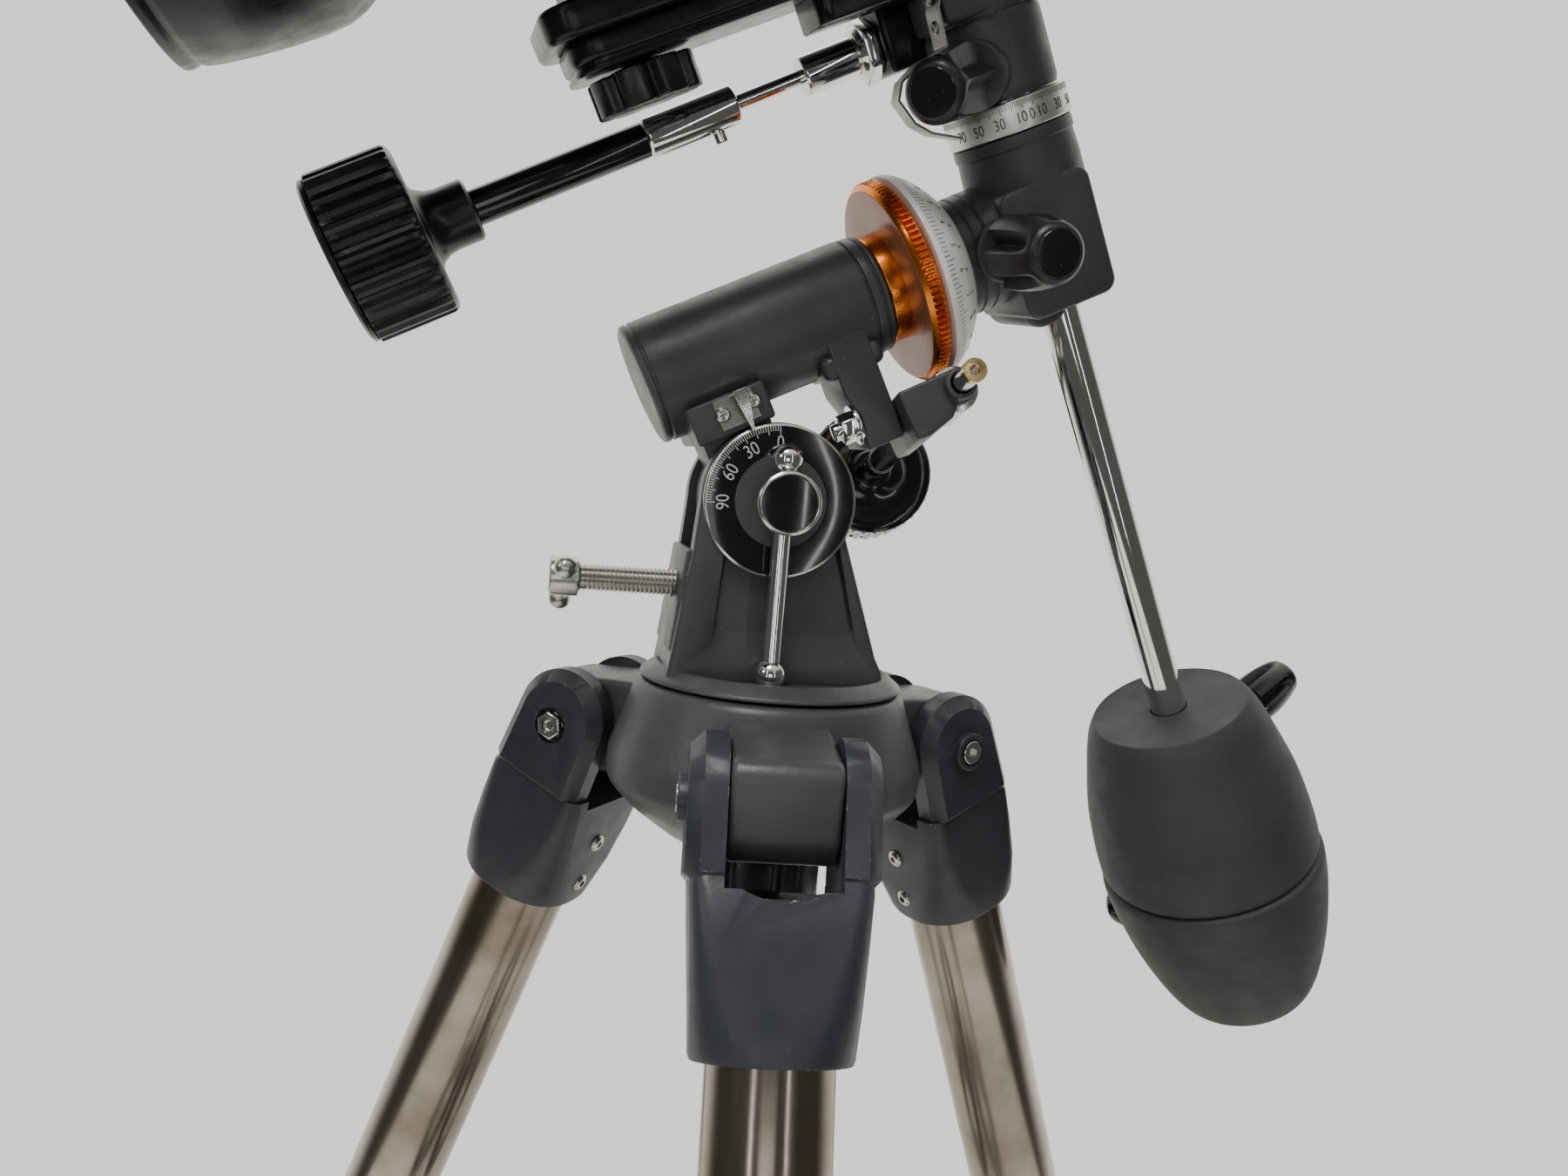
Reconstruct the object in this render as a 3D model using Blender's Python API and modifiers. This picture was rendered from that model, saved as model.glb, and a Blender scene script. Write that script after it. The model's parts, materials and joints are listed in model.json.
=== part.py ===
"""A Newtonian reflector telescope on a German equatorial mount and a folding steel tripod.

Sizes are in millimetres, and each mesh helper turns them into metres. Each part is modelled in a frame of
its own, whose origin lies on the axis that the part turns about or slides along. +Z is up, and the origin
of the whole telescope is on the floor, under the middle of its bounding box.
"""

import math

import bmesh
import bpy
from mathutils import Matrix, Vector

MM = 0.001
GAP = 0.3  # clearance between faces that meet
WELD = 0.000001

# Tripod: three steel legs hinged under a cast head
TRIPOD_X = -23.8
TRIPOD_Y = 70.5
LEG_AZIMUTHS = {"front": -84.24, "right": 35.76, "left": 155.76}
HINGE_RADIUS = 61.4
SPLAY = 21.66
LEG_LENGTH = 760.0
LEG_TUBE_RADIUS = 15.875
LOWER_TUBE_RADIUS = 12.7
TUBE_WALL = 1.3
LUG_HALF_WIDTH = 13.9
HINGE_PIN_RADIUS = 4.0
UPPER_TUBE_END = 640.0
BRACE_DROP = 400.0  # distance of the brace lug down each leg
BRACE_INSET = 24.0  # distance of the brace pivot inward of the leg's axis
ARM_RISE = 20.0  # slope of a brace arm, in degrees
ARM_PIVOT_LENGTH = 173.1  # from the lug pivot to where the hub pivot would be
ARM_REACH = 163.0  # the hub pivot is open, so the arm stops short of it
ARM_HALF_WIDTH = 5.0

# Equatorial mount: bearing of its plane, latitude, and the hour angle of the declination axis
MOUNT_BEARING = 12.97
LATITUDE = 27.03
HOUR_ANGLE = 8.13
PIVOT_OFFSET = -5.3
PIVOT_HEIGHT = 74.5
RA_OFFSET = 43.8
CHEEK_OUTER = 17.5
CHEEK_INNER = 10.8
PIVOT_BORE = 5.4
LATITUDE_BOLT_Z = -26.6
DEC_STATION = 107.5  # where the two axes cross, along the polar axis
AXLE_RADIUS = 9.0
AXLE_BORE = 9.4
GEAR_RADIUS = 30.1
WORM_ANGLE = 12.9
WORM_STATION = 59.5
WORM_DISTANCE = 37.2
DEC_SHAFT_RADIUS = 8.0
DEC_SHAFT_BORE = 8.4
BAR_RADIUS = 6.0
BAR_END = 301.0
DEC_WORM_Y = 20.0
DEC_WORM_Z = 63.5

# Optical tube
TUBE_DISTANCE = 201.7  # from the crossing of the mount's axes to the tube's axis
TUBE_RADIUS = 82.0
TUBE_REAR = -166.0
TUBE_FRONT = 402.0
RING_STATION = 98.0
FOCUSER_STATION = 317.0
FOCUSER_ANGLE = 50.0
FINDER_ANGLE = 95.0
PLATE_TOP = 97.0
MIRROR_RADIUS = 65.0

UP = Vector((0, 0, 1))


# ---------------------------------------------------------------- looks: colour, roughness, metallic
LOOKS = {
    "mount_paint": ((0.060, 0.062, 0.068), 0.45, 0.0),
    "leg_paint": ((0.018, 0.020, 0.028), 0.40, 0.0),
    "steel": ((0.62, 0.60, 0.57), 0.22, 1.0),
    "chrome": ((0.80, 0.80, 0.80), 0.10, 1.0),
    "zinc": ((0.55, 0.54, 0.50), 0.35, 1.0),
    "black_gloss": ((0.010, 0.010, 0.011), 0.18, 0.0),
    "black_plastic": ((0.015, 0.015, 0.016), 0.32, 0.0),
    "weight_paint": ((0.050, 0.050, 0.052), 0.65, 0.0),
    "orange_anodised": ((0.62, 0.16, 0.05), 0.25, 1.0),
    "silver_satin": ((0.62, 0.62, 0.62), 0.35, 1.0),
    "tube_paint": ((0.012, 0.013, 0.018), 0.20, 0.0),
    "mirror": ((0.92, 0.93, 0.94), 0.02, 1.0),
}


def material(name, look):
    colour, roughness, metallic = LOOKS[look]
    result = bpy.data.materials.new(name + "_" + look)
    result.use_nodes = True
    shader = result.node_tree.nodes["Principled BSDF"]
    shader.inputs["Base Color"].default_value = (*colour, 1.0)
    shader.inputs["Roughness"].default_value = roughness
    shader.inputs["Metallic"].default_value = metallic
    return result


# ---------------------------------------------------------------- scene and helpers
for leftover in list(bpy.data.objects):
    bpy.data.objects.remove(leftover)

PARTS = bpy.data.collections.new("newtonian_reflector_telescope")
CUTTERS = bpy.data.collections.new("cutters")
for group in (PARTS, CUTTERS):
    bpy.context.scene.collection.children.link(group)


def frame(origin, x_axis, z_axis):
    """A placement, from an origin in millimetres and two directions at right angles."""
    x = Vector(x_axis).normalized()
    z = Vector(z_axis).normalized()
    placement = Matrix((x, z.cross(x), z)).transposed().to_4x4()
    placement.translation = Vector(origin) * MM
    return placement


def at(x=0.0, y=0.0, z=0.0):
    return Matrix.Translation(Vector((x, y, z)) * MM)


def turned(degrees, axis):
    return Matrix.Rotation(math.radians(degrees), 4, axis)


def moved(mesh, placement):
    mesh.transform(placement)
    return mesh


def along_y(mesh):
    """Turn a mesh whose axis is Z so that its axis is Y and its own Y points up."""
    return moved(mesh, turned(90, "X"))


def along_x(mesh):
    """Turn a mesh whose axis is Z so that its axis is X."""
    return moved(mesh, turned(90, "Y"))


def finished(shape, name="shape"):
    mesh = bpy.data.meshes.new(name)
    shape.to_mesh(mesh)
    shape.free()
    return mesh


def helper(data):
    """A construction object, which is never rendered."""
    thing = bpy.data.objects.new("helper", data)
    CUTTERS.objects.link(thing)
    thing.hide_render = True
    thing.display_type = "WIRE"
    return thing


def baked(thing):
    """The helper's mesh with its modifiers applied. The helper is removed."""
    bpy.context.view_layer.update()
    graph = bpy.context.evaluated_depsgraph_get()
    mesh = bpy.data.meshes.new_from_object(thing.evaluated_get(graph))
    bpy.data.objects.remove(thing)
    return mesh


def box(x, y, z):
    """A box from three (low, high) pairs."""
    shape = bmesh.new()
    size = Vector((x[1] - x[0], y[1] - y[0], z[1] - z[0])) * MM
    middle = Vector((x[0] + x[1], y[0] + y[1], z[0] + z[1])) * MM / 2
    bmesh.ops.create_cube(shape, size=1.0, matrix=Matrix.Translation(middle) @ Matrix.Diagonal((*size, 1.0)))
    return finished(shape)


def cylinder(radius, low, high, sides=24):
    shape = bmesh.new()
    place = Matrix.Translation((0, 0, (low + high) / 2 * MM))
    bmesh.ops.create_cone(
        shape, cap_ends=True, segments=sides, radius1=radius * MM, radius2=radius * MM,
        depth=(high - low) * MM, matrix=place,
    )
    return finished(shape)


def ball(radius, x=0.0, y=0.0, z=0.0):
    shape = bmesh.new()
    bmesh.ops.create_uvsphere(shape, u_segments=12, v_segments=6, radius=radius * MM, matrix=at(x, y, z))
    return finished(shape)


def lathe(profile, steps=32, ring=False):
    """Turn (radius, height) points about Z. They run down the outer side, and a ring's come up its bore."""
    shape = bmesh.new()
    points = [shape.verts.new((radius * MM, 0.0, height * MM)) for radius, height in profile]
    for start, end in zip(points, points[1:]):
        shape.edges.new((start, end))
    if ring:
        shape.edges.new((points[-1], points[0]))
    thing = helper(finished(shape))
    screw = thing.modifiers.new("turn", "SCREW")
    screw.steps = steps
    screw.render_steps = steps
    screw.use_merge_vertices = True
    screw.merge_threshold = WELD
    return baked(thing)


def plate(outline, low, high):
    """A flat outline in X and Y, with its thickness along Z."""
    curve = bpy.data.curves.new("outline", "CURVE")
    curve.dimensions = "2D"
    curve.fill_mode = "BOTH"
    curve.extrude = (high - low) / 2 * MM
    spline = curve.splines.new("POLY")
    spline.points.add(len(outline) - 1)
    for point, (x, y) in zip(spline.points, outline):
        point.co = (x * MM, y * MM, 0.0, 1.0)
    spline.use_cyclic_u = True
    mesh = baked(helper(curve))
    shape = bmesh.new()
    shape.from_mesh(mesh)
    bmesh.ops.remove_doubles(shape, verts=shape.verts, dist=WELD)
    bmesh.ops.recalc_face_normals(shape, faces=shape.faces)
    return moved(finished(shape), at(z=(low + high) / 2))


def arc(x, y, radius, start, end, steps=8):
    """Points along an arc, from one angle to another in degrees."""
    angles = [math.radians(start + (end - start) * step / steps) for step in range(steps + 1)]
    return [(x + radius * math.cos(angle), y + radius * math.sin(angle)) for angle in angles]


def boolean(base, operation, others):
    thing = helper(base)
    tools = [helper(other) for other in others]
    for tool in tools:
        change = thing.modifiers.new(operation.lower(), "BOOLEAN")
        change.operation = operation
        change.solver = "EXACT"
        change.object = tool
    mesh = baked(thing)
    for tool in tools:
        bpy.data.objects.remove(tool)
    return mesh


def joined(base, *others):
    return boolean(base, "UNION", others)


def cut(base, *others):
    return boolean(base, "DIFFERENCE", others)


def part(name, mesh, placement, look):
    """One sub-part: a named object with its own material, at its frame."""
    thing = bpy.data.objects.new(name, mesh)
    mesh.shade_smooth()
    mesh.set_sharp_from_angle(angle=math.radians(35))
    PARTS.objects.link(thing)
    thing.matrix_world = placement
    if not mesh.materials:
        mesh.materials.append(material(name, look))
    return thing


# ---------------------------------------------------------------- frames of the assembly
SPLAY_RADIANS = math.radians(SPLAY)
HINGE_Z = LEG_LENGTH * math.cos(SPLAY_RADIANS)
TRIPOD_ORIGIN = Vector((TRIPOD_X, TRIPOD_Y, HINGE_Z))

BEARING = math.radians(MOUNT_BEARING)
FORWARD = Vector((math.cos(BEARING), math.sin(BEARING), 0))
SIDE = Vector((math.sin(BEARING), -math.cos(BEARING), 0))
LATITUDE_RADIANS = math.radians(LATITUDE)
POLAR = FORWARD * math.cos(LATITUDE_RADIANS) + UP * math.sin(LATITUDE_RADIANS)
NORMAL = UP * math.cos(LATITUDE_RADIANS) - FORWARD * math.sin(LATITUDE_RADIANS)
PIVOT = TRIPOD_ORIGIN + FORWARD * PIVOT_OFFSET + UP * PIVOT_HEIGHT
RA_ORIGIN = PIVOT + NORMAL * RA_OFFSET
HOUR = math.radians(HOUR_ANGLE)
DEC_AXIS = NORMAL * math.cos(HOUR) + SIDE * math.sin(HOUR)
CROSSING = RA_ORIGIN + POLAR * DEC_STATION
TUBE_ORIGIN = CROSSING + DEC_AXIS * TUBE_DISTANCE
WORM_TILT = math.radians(WORM_ANGLE)
WORM_AXIS = SIDE * math.cos(WORM_TILT) + NORMAL * math.sin(WORM_TILT)
WORM_OUTWARD = SIDE * math.sin(WORM_TILT) - NORMAL * math.cos(WORM_TILT)

TRIPOD = frame(TRIPOD_ORIGIN, (1, 0, 0), UP)
BASE = frame(TRIPOD_ORIGIN, FORWARD, UP)  # turns in azimuth
PIVOT_LEVEL = frame(PIVOT, FORWARD, UP)
PIVOT_AXIS = frame(PIVOT, FORWARD, SIDE)  # Z along the latitude pivot
RA = frame(RA_ORIGIN, NORMAL, POLAR)  # Z along the polar axis
DEC = frame(CROSSING, POLAR, DEC_AXIS)  # Z along the declination axis
OPTICS = frame(TUBE_ORIGIN, DEC_AXIS, POLAR)  # Z along the tube
WORM = frame(RA_ORIGIN + POLAR * WORM_STATION + WORM_OUTWARD * WORM_DISTANCE, POLAR, WORM_AXIS)
DEC_WORM = DEC @ at(y=DEC_WORM_Y, z=DEC_WORM_Z) @ turned(-90, "Y")
FOCUSER = OPTICS @ at(z=FOCUSER_STATION) @ turned(FOCUSER_ANGLE, "Z") @ turned(90, "Y")
FINDER = OPTICS @ turned(FINDER_ANGLE, "Z")


def leg_frame(azimuth):
    """At a leg's hinge: Z up along the leg, X outward, Y along the hinge pin."""
    angle = math.radians(azimuth)
    radial = Vector((math.cos(angle), math.sin(angle), 0))
    down = radial * math.sin(SPLAY_RADIANS) - UP * math.cos(SPLAY_RADIANS)
    outward = radial * math.cos(SPLAY_RADIANS) + UP * math.sin(SPLAY_RADIANS)
    return frame(TRIPOD_ORIGIN + radial * HINGE_RADIUS, outward, -down)


# ---------------------------------------------------------------- tripod
def tripod_head():
    bore = 6.2
    profile = [(39.6, 19.9), (42.4, 11.4), (47, -2), (47, -10), (40.5, -17), (27.8, -26.5), (bore, -26.5), (bore, 19.9)]
    body = lathe(profile, 28, ring=True)
    outline = [(30, -14), *arc(HINGE_RADIUS, 0, 14, -90, 90, 8), (30, 14)]
    lugs = []
    bores = []
    for azimuth in LEG_AZIMUTHS.values():
        lug = along_y(plate(outline, -LUG_HALF_WIDTH, LUG_HALF_WIDTH))
        lugs.append(moved(lug, turned(azimuth, "Z")))
        bore_cutter = along_y(cylinder(HINGE_PIN_RADIUS + 0.4, -30, 30, 12))
        bores.append(moved(bore_cutter, turned(azimuth, "Z") @ at(x=HINGE_RADIUS)))
    return cut(joined(body, *lugs), *bores)


def azimuth_knob():
    return lathe([(0, 30), (5.6, 30), (5.6, -28), (18.5, -28), (18.5, -43), (15, -46), (0, -46)], 18)


def leg_socket():
    """A forked casting: two ears on the hinge pin, and a socket for the leg tube."""
    ear = [(-14.5, -8), *arc(0, 3, 14.5, 180, 0, 8), (14.5, -8), (17.5, -26), (-19, -26), (-18, -16)]
    body = joined(
        along_y(plate(ear, -24, 24)),
        lathe([(0, -23), (22.6, -23), (19.9, -61), (0, -61)], 20),
    )
    fork = box((-30, 30), (-14.3, 14.3), (-22, 30))
    socket = cylinder(LEG_TUBE_RADIUS + GAP, -70, -23.7, 24)
    pin = along_y(cylinder(HINGE_PIN_RADIUS, -20, 20, 12))
    return joined(cut(body, fork, socket), pin)


def upper_leg():
    """A steel tube with the collar and ears that hold a brace arm."""
    outer = cylinder(LEG_TUBE_RADIUS, -UPPER_TUBE_END, -24, 24)
    collar = cylinder(19.0, -BRACE_DROP - 15, -BRACE_DROP + 15, 20)
    ears = [box((-30, -12), side, (-BRACE_DROP - 7, -BRACE_DROP + 7)) for side in ((-9, -5.5), (5.5, 9))]
    pin = moved(along_y(cylinder(2.6, -7, 7, 8)), at(x=-BRACE_INSET, z=-BRACE_DROP))
    hollow = cylinder(LEG_TUBE_RADIUS - TUBE_WALL, -UPPER_TUBE_END - 1, -23, 20)
    return cut(joined(outer, collar, *ears, pin), hollow)


def leg_clamp():
    """A split collar at the foot of the upper tube, with the boss of its clamping screw."""
    body = cylinder(21.5, -662, -604, 20)
    boss = along_x(cylinder(9.0, -33, -17, 12))
    upper_bore = cylinder(LEG_TUBE_RADIUS + GAP, -UPPER_TUBE_END - GAP, -600, 24)
    lower_bore = cylinder(LOWER_TUBE_RADIUS + GAP, -670, -600, 20)
    return cut(joined(body, moved(boss, at(z=-650))), upper_bore, lower_bore)


def lower_leg():
    """The sliding tube and its rubber foot, cut level with the floor."""
    inner = LOWER_TUBE_RADIUS - TUBE_WALL
    profile = [
        (0, -730), (inner, -730), (inner, -250), (LOWER_TUBE_RADIUS, -250), (LOWER_TUBE_RADIUS, -712),
        (16, -716), (16, -LEG_LENGTH - 20), (0, -LEG_LENGTH - 20),
    ]
    below_floor = moved(box((-60, 60), (-60, 60), (-60, 0)), at(z=-LEG_LENGTH) @ turned(SPLAY, "Y"))
    return cut(lathe(profile, 20), below_floor)


def spreader_arm():
    """A flat bar with an eye at each end, from the leg's lug toward the hub."""
    near_eye = along_y(cylinder(4.6, -ARM_HALF_WIDTH, ARM_HALF_WIDTH, 12))
    far_eye = moved(along_y(cylinder(5, -ARM_HALF_WIDTH, ARM_HALF_WIDTH, 12)), at(x=ARM_REACH))
    bar = box((3, ARM_REACH - 3), (-ARM_HALF_WIDTH, ARM_HALF_WIDTH), (-1.8, 1.8))
    near_bore = along_y(cylinder(3.0, -9, 9, 10))
    far_bore = moved(along_y(cylinder(3.0, -9, 9, 10)), at(x=ARM_REACH))
    return cut(joined(near_eye, bar, far_eye), near_bore, far_bore)


def accessory_tray():
    """A hub with three channels for the arms, under a three-lobed tray whose lobes lie between the legs."""
    hub = joined(cylinder(10, -8, 9, 18), cylinder(12, 6, 9, 18))
    pieces = []
    for azimuth in LEG_AZIMUTHS.values():
        lobe = cylinder(40, 6, 9, 24)
        pieces.append(moved(lobe, turned(azimuth + 60, "Z") @ at(x=55)))
        neck = box((5, 20), (-6, 6), (6, 9))
        pieces.append(moved(neck, turned(azimuth + 60, "Z")))
        for cheek in ((-8.6, -6.3), (6.3, 8.6)):
            pieces.append(moved(box((6, 30), cheek, (-5, 7)), turned(azimuth, "Z")))
    return joined(hub, *pieces)


def build_tripod():
    part("tripod_head", tripod_head(), TRIPOD, "mount_paint")
    part("azimuth_knob", azimuth_knob(), TRIPOD, "black_plastic")
    leg_shapes = {
        "leg_socket": (leg_socket(), "leg_paint"),
        "upper_leg": (upper_leg(), "steel"),
        "leg_clamp": (leg_clamp(), "black_plastic"),
        "lower_leg": (lower_leg(), "steel"),
    }
    arm = spreader_arm()
    for side, azimuth in LEG_AZIMUTHS.items():
        leg = leg_frame(azimuth)
        for kind, (mesh, look) in leg_shapes.items():
            part(f"{kind}_{side}", mesh, leg, look)
        lug = leg @ at(x=-BRACE_INSET, z=-BRACE_DROP)
        # From the leg's frame, turn X round to point inward and up along the arm.
        part(f"spreader_arm_{side}", arm, lug @ turned(SPLAY, "Y") @ turned(180, "Z") @ turned(-ARM_RISE, "Y"), "steel")
    lug_height = -BRACE_DROP * math.cos(SPLAY_RADIANS) - BRACE_INSET * math.sin(SPLAY_RADIANS)
    hub_height = lug_height + ARM_PIVOT_LENGTH * math.sin(math.radians(ARM_RISE))
    part("accessory_tray", accessory_tray(), TRIPOD @ at(z=hub_height), "black_plastic")


# ---------------------------------------------------------------- mount base and latitude adjustment
def mount_base():
    """A flanged foot and a fork of two cheeks, closed behind by the plate that the latitude bolt passes."""
    foot = lathe([(0, 22.4), (38, 22.4), (39.1, 21.6), (39.1, 20.6), (0, 20.6)], 28)
    outline = [
        (-28.8, -52.6), (35.2, -52.6), (34.7, -47.4), (32.5, -43.6), (20.7, -9.8),
        *arc(0, 0, 22, -20, 180, 10), (-27, -30),
    ]
    fork = along_y(plate(outline, -CHEEK_OUTER, CHEEK_OUTER))
    slot = box((-26.8, 60), (-CHEEK_INNER, CHEEK_INNER), (-40, 40))
    pivot_bore = along_y(cylinder(PIVOT_BORE, -30, 30, 16))
    fork = cut(fork, slot, pivot_bore)
    rear_plate = box((-31, -26.5), (-CHEEK_OUTER, CHEEK_OUTER), (-47, -16))
    bolt_bore = moved(along_x(cylinder(4.5, -40, -20, 12)), at(z=LATITUDE_BOLT_Z))
    fork = cut(joined(fork, rear_plate), bolt_bore)
    fork = moved(fork, at(x=PIVOT_OFFSET, z=PIVOT_HEIGHT))
    return cut(joined(foot, fork), cylinder(6.3, 10, 32, 14))


def latitude_dial():
    return lathe([(13.2, 20), (13.2, 19.3), (21.7, 19.3), (21.7, 17.8), (6.5, 17.8), (6.5, 20)], 24, ring=True)


def latitude_lock():
    """The pivot bolt: capped head, neck with a cross hole for the bar, and shank through the fork."""
    bolt = lathe([(0, 32.4), (8.9, 32.4), (8.9, 27.6), (6, 27.6), (6, 20.3), (4.9, 20.3), (4.9, -21), (0, -21)], 16)
    cross_hole = moved(along_y(cylinder(2.9, -10, 10, 12)), at(z=24.5))
    return cut(bolt, cross_hole)


def latitude_lock_bar():
    return joined(cylinder(2.4, -48.1, 11.3, 12), ball(3.6, z=-48.1), ball(3.6, z=11.3))


def latitude_bolt():
    """A threaded bolt, along Z, with a ball-ended cross bar through its head."""
    shank = lathe([(0, 41.5), (4, 41.5), (4, 4.5), (5.5, 4.5), (5.5, -4), (0, -4)], 16)
    bar = joined(cylinder(1.8, -23, 8.5, 8), ball(2.8, z=-23), ball(2.8, z=8.5))
    return joined(shank, moved(along_y(bar), turned(180 - 20, "Z")))


def build_base():
    part("mount_base", mount_base(), BASE, "mount_paint")
    part("latitude_dial", latitude_dial(), PIVOT_AXIS, "black_gloss")
    part("latitude_lock", latitude_lock(), PIVOT_AXIS, "chrome")
    part("latitude_lock_bar", latitude_lock_bar(), PIVOT_LEVEL @ at(y=-24.5), "chrome")
    bolt_place = frame(PIVOT - FORWARD * 57.5 + UP * LATITUDE_BOLT_Z, UP, FORWARD)
    part("latitude_bolt", latitude_bolt(), bolt_place, "zinc")


# ---------------------------------------------------------------- polar axis
def ra_housing():
    """The polar barrel, its trunnion between the cheeks, and the lugs of the worm bracket and latitude bolt."""
    barrel = lathe([(0, -19), (AXLE_BORE, -19), (AXLE_BORE, 51.7), (17.7, 51.7), (17.7, -20), (15.7, -22), (0, -22)], 24)
    drum = moved(along_y(cylinder(20, -10.3, 10.3, 24)), at(x=-RA_OFFSET))
    neck = box((-RA_OFFSET, -13), (-10.1, 10.1), (-13, 8))
    bracket_lug = box((-40, -13), (-8, 8), (30, 41.7))
    tail_lug = moved(box((-12.5, -5), (-8, 8), (-34, -15)), RA.inverted() @ PIVOT_LEVEL)
    pivot_bore = moved(along_y(cylinder(PIVOT_BORE, -30, 30, 16)), at(x=-RA_OFFSET))
    return cut(joined(barrel, drum, neck, bracket_lug, tail_lug), pivot_bore)


def worm_bracket():
    block = box((-17.2, 6.5), (-9.5, 5.5), (-15, 15))
    return cut(block, cylinder(7.3, -11, 11, 16), cylinder(3.5, -20, 20, 12))


def ra_worm():
    profile = [
        (0, 30.9), (3, 30.9), (3, 20), (5, 20), (5, 16.5), (3, 16.5), (3, 10.6),
        (6.8, 10.6), (6.8, -10.6), (3, -10.6), (3, -22), (0, -22),
    ]
    return lathe(profile, 14)


def ra_flex_shaft():
    profile = [(0, -22.4), (5.1, -22.4), (5.1, -40), (4.5, -40), (4.5, -95), (5.1, -95), (5.1, -111.6), (0, -111.6)]
    return lathe(profile, 12)


def ra_knob():
    profile = [(0, -112), (8, -112), (8, -115), (22.5, -115), (24.5, -117), (24.5, -136), (22.5, -138), (0, -138)]
    return lathe(profile, 20)


def ra_gear():
    profile = [
        (GEAR_RADIUS, 63.2), (GEAR_RADIUS, 57.2), (16, 57.2), (16, 52), (AXLE_BORE, 52), (AXLE_BORE, 63.2),
    ]
    return lathe(profile, 36, ring=True)


def ra_dial():
    profile = [
        (19, 76.5), (24.7, 72.6), (28.5, 68.5), (30.4, 65), (30.4, 63.5), (AXLE_BORE, 63.5), (AXLE_BORE, 76.5),
    ]
    return lathe(profile, 28, ring=True)


def lock_knob():
    """A clamping screw with a long fluted head, along Z from its axis."""
    return lathe([(0, 49), (6.4, 49), (8.6, 47), (9.4, 28), (8.6, 25), (4.2, 24.5), (4.2, 18), (0, 18)], 14)


def junction_block():
    """Where the axes cross: the polar axle on one side, and the declination housing above."""
    block = box((-17.5, 13.4), (-17.6, 17.7), (-23.5, 14))
    polar_neck = along_x(cylinder(17.5, -30.5, -10, 24))
    axle = along_x(cylinder(AXLE_RADIUS, -126, -28, 20))
    dec_neck = cylinder(17.6, -5, 28, 24)
    shaft_bore = cylinder(DEC_SHAFT_BORE, -11, 40, 20)
    bar_bore = cylinder(BAR_RADIUS + GAP, -40, -13, 16)
    return cut(joined(block, polar_neck, axle, dec_neck), shaft_bore, bar_bore)


def build_polar_axis():
    part("ra_housing", ra_housing(), RA, "mount_paint")
    part("worm_bracket", worm_bracket(), WORM, "mount_paint")
    part("ra_worm", ra_worm(), WORM, "steel")
    part("ra_flex_shaft", ra_flex_shaft(), WORM, "black_plastic")
    part("ra_knob", ra_knob(), WORM, "black_plastic")
    part("ra_gear", ra_gear(), RA, "orange_anodised")
    part("ra_dial", ra_dial(), RA, "silver_satin")
    part("junction_block", junction_block(), DEC, "mount_paint")
    lock_tilt = math.radians(10.2)
    direction = SIDE * math.cos(lock_tilt) - NORMAL * math.sin(lock_tilt)
    part("ra_lock_knob", lock_knob(), frame(RA_ORIGIN + POLAR * 87.5, POLAR, direction), "black_plastic")


# ---------------------------------------------------------------- declination axis
def counterweight(profile):
    """A round weight that slides on the bar, from (radius, distance down the bar) points."""
    bore = BAR_RADIUS + 0.4
    outer = [(radius, -distance) for radius, distance in profile]
    return lathe([*outer, (bore, outer[-1][1]), (bore, outer[0][1])], 24, ring=True)


def weight_knob(reach):
    """The clamping screw of a counterweight, along Z from the bar's axis."""
    return lathe([(0, reach), (6.5, reach), (8.5, reach - 4), (8, 38), (0, 38)], 14)


def dec_head():
    """The turning head: a collar round the declination shaft and the pedestal of the saddle."""
    collar = lathe(
        [(0, 54.5), (16.8, 54.5), (16.8, 37.3), (DEC_SHAFT_BORE, 37.3), (DEC_SHAFT_BORE, 53.3), (0, 53.3)], 24
    )
    return joined(collar, box((-16, 16), (-16, 7.7), (53.5, 71.7)))


def dec_worm_block():
    block = box((-26, 18), (8, 32), (54.8, 76))
    cavity = joined(cylinder(6, -14, 14, 16), cylinder(3.5, -40, 40, 12))
    return cut(block, moved(along_x(cavity), at(y=DEC_WORM_Y, z=DEC_WORM_Z)))


def dec_worm():
    profile = [(0, 31.6), (3, 31.6), (3, 13.6), (5.6, 13.6), (5.6, -13.6), (3, -13.6), (3, -17.5), (0, -17.5)]
    return lathe(profile, 14)


def dec_flex_shaft():
    profile = [
        (0, 120.4), (5.1, 120.4), (5.1, 68), (6, 68), (6, 39.5), (2.3, 39.5), (2.3, 17.5),
        (5.8, 17.5), (5.8, 0.3), (0, 0.3),
    ]
    return lathe(profile, 12)


def dec_knob():
    profile = [
        (0, 162), (22, 162), (24, 160), (24, 141), (22, 139), (12, 139), (6, 120.8), (0, 120.8),
    ]
    return lathe(profile, 20)


def saddle_plate():
    """A stepped bar under the tube rings, with a boss over the head."""
    half_length = 121.0
    corner = 8.0
    inset_x = half_length - corner
    inset_y = 22.0 - corner
    outline = [
        *arc(inset_x, inset_y, corner, 0, 90, 4), *arc(-inset_x, inset_y, corner, 90, 180, 4),
        *arc(-inset_x, -inset_y, corner, 180, 270, 4), *arc(inset_x, -inset_y, corner, 270, 360, 4),
    ]
    slab = plate(outline, 86, PLATE_TOP)
    rib = box((-116.5, 116.5), (-17.5, 17.5), (80, 87))
    boss = box((-50, 50), (-15, 7.5), (72, 81))
    holes = [moved(cylinder(4.5, 60, 110, 12), at(x=side * RING_STATION)) for side in (-1, 1)]
    return cut(joined(slab, rib, boss), *holes)


def ring_nut():
    return lathe([(0, 100), (4, 100), (4, 79.7), (13, 79.7), (15, 77.5), (15, 71), (13, 69), (0, 69)], 14)


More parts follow.
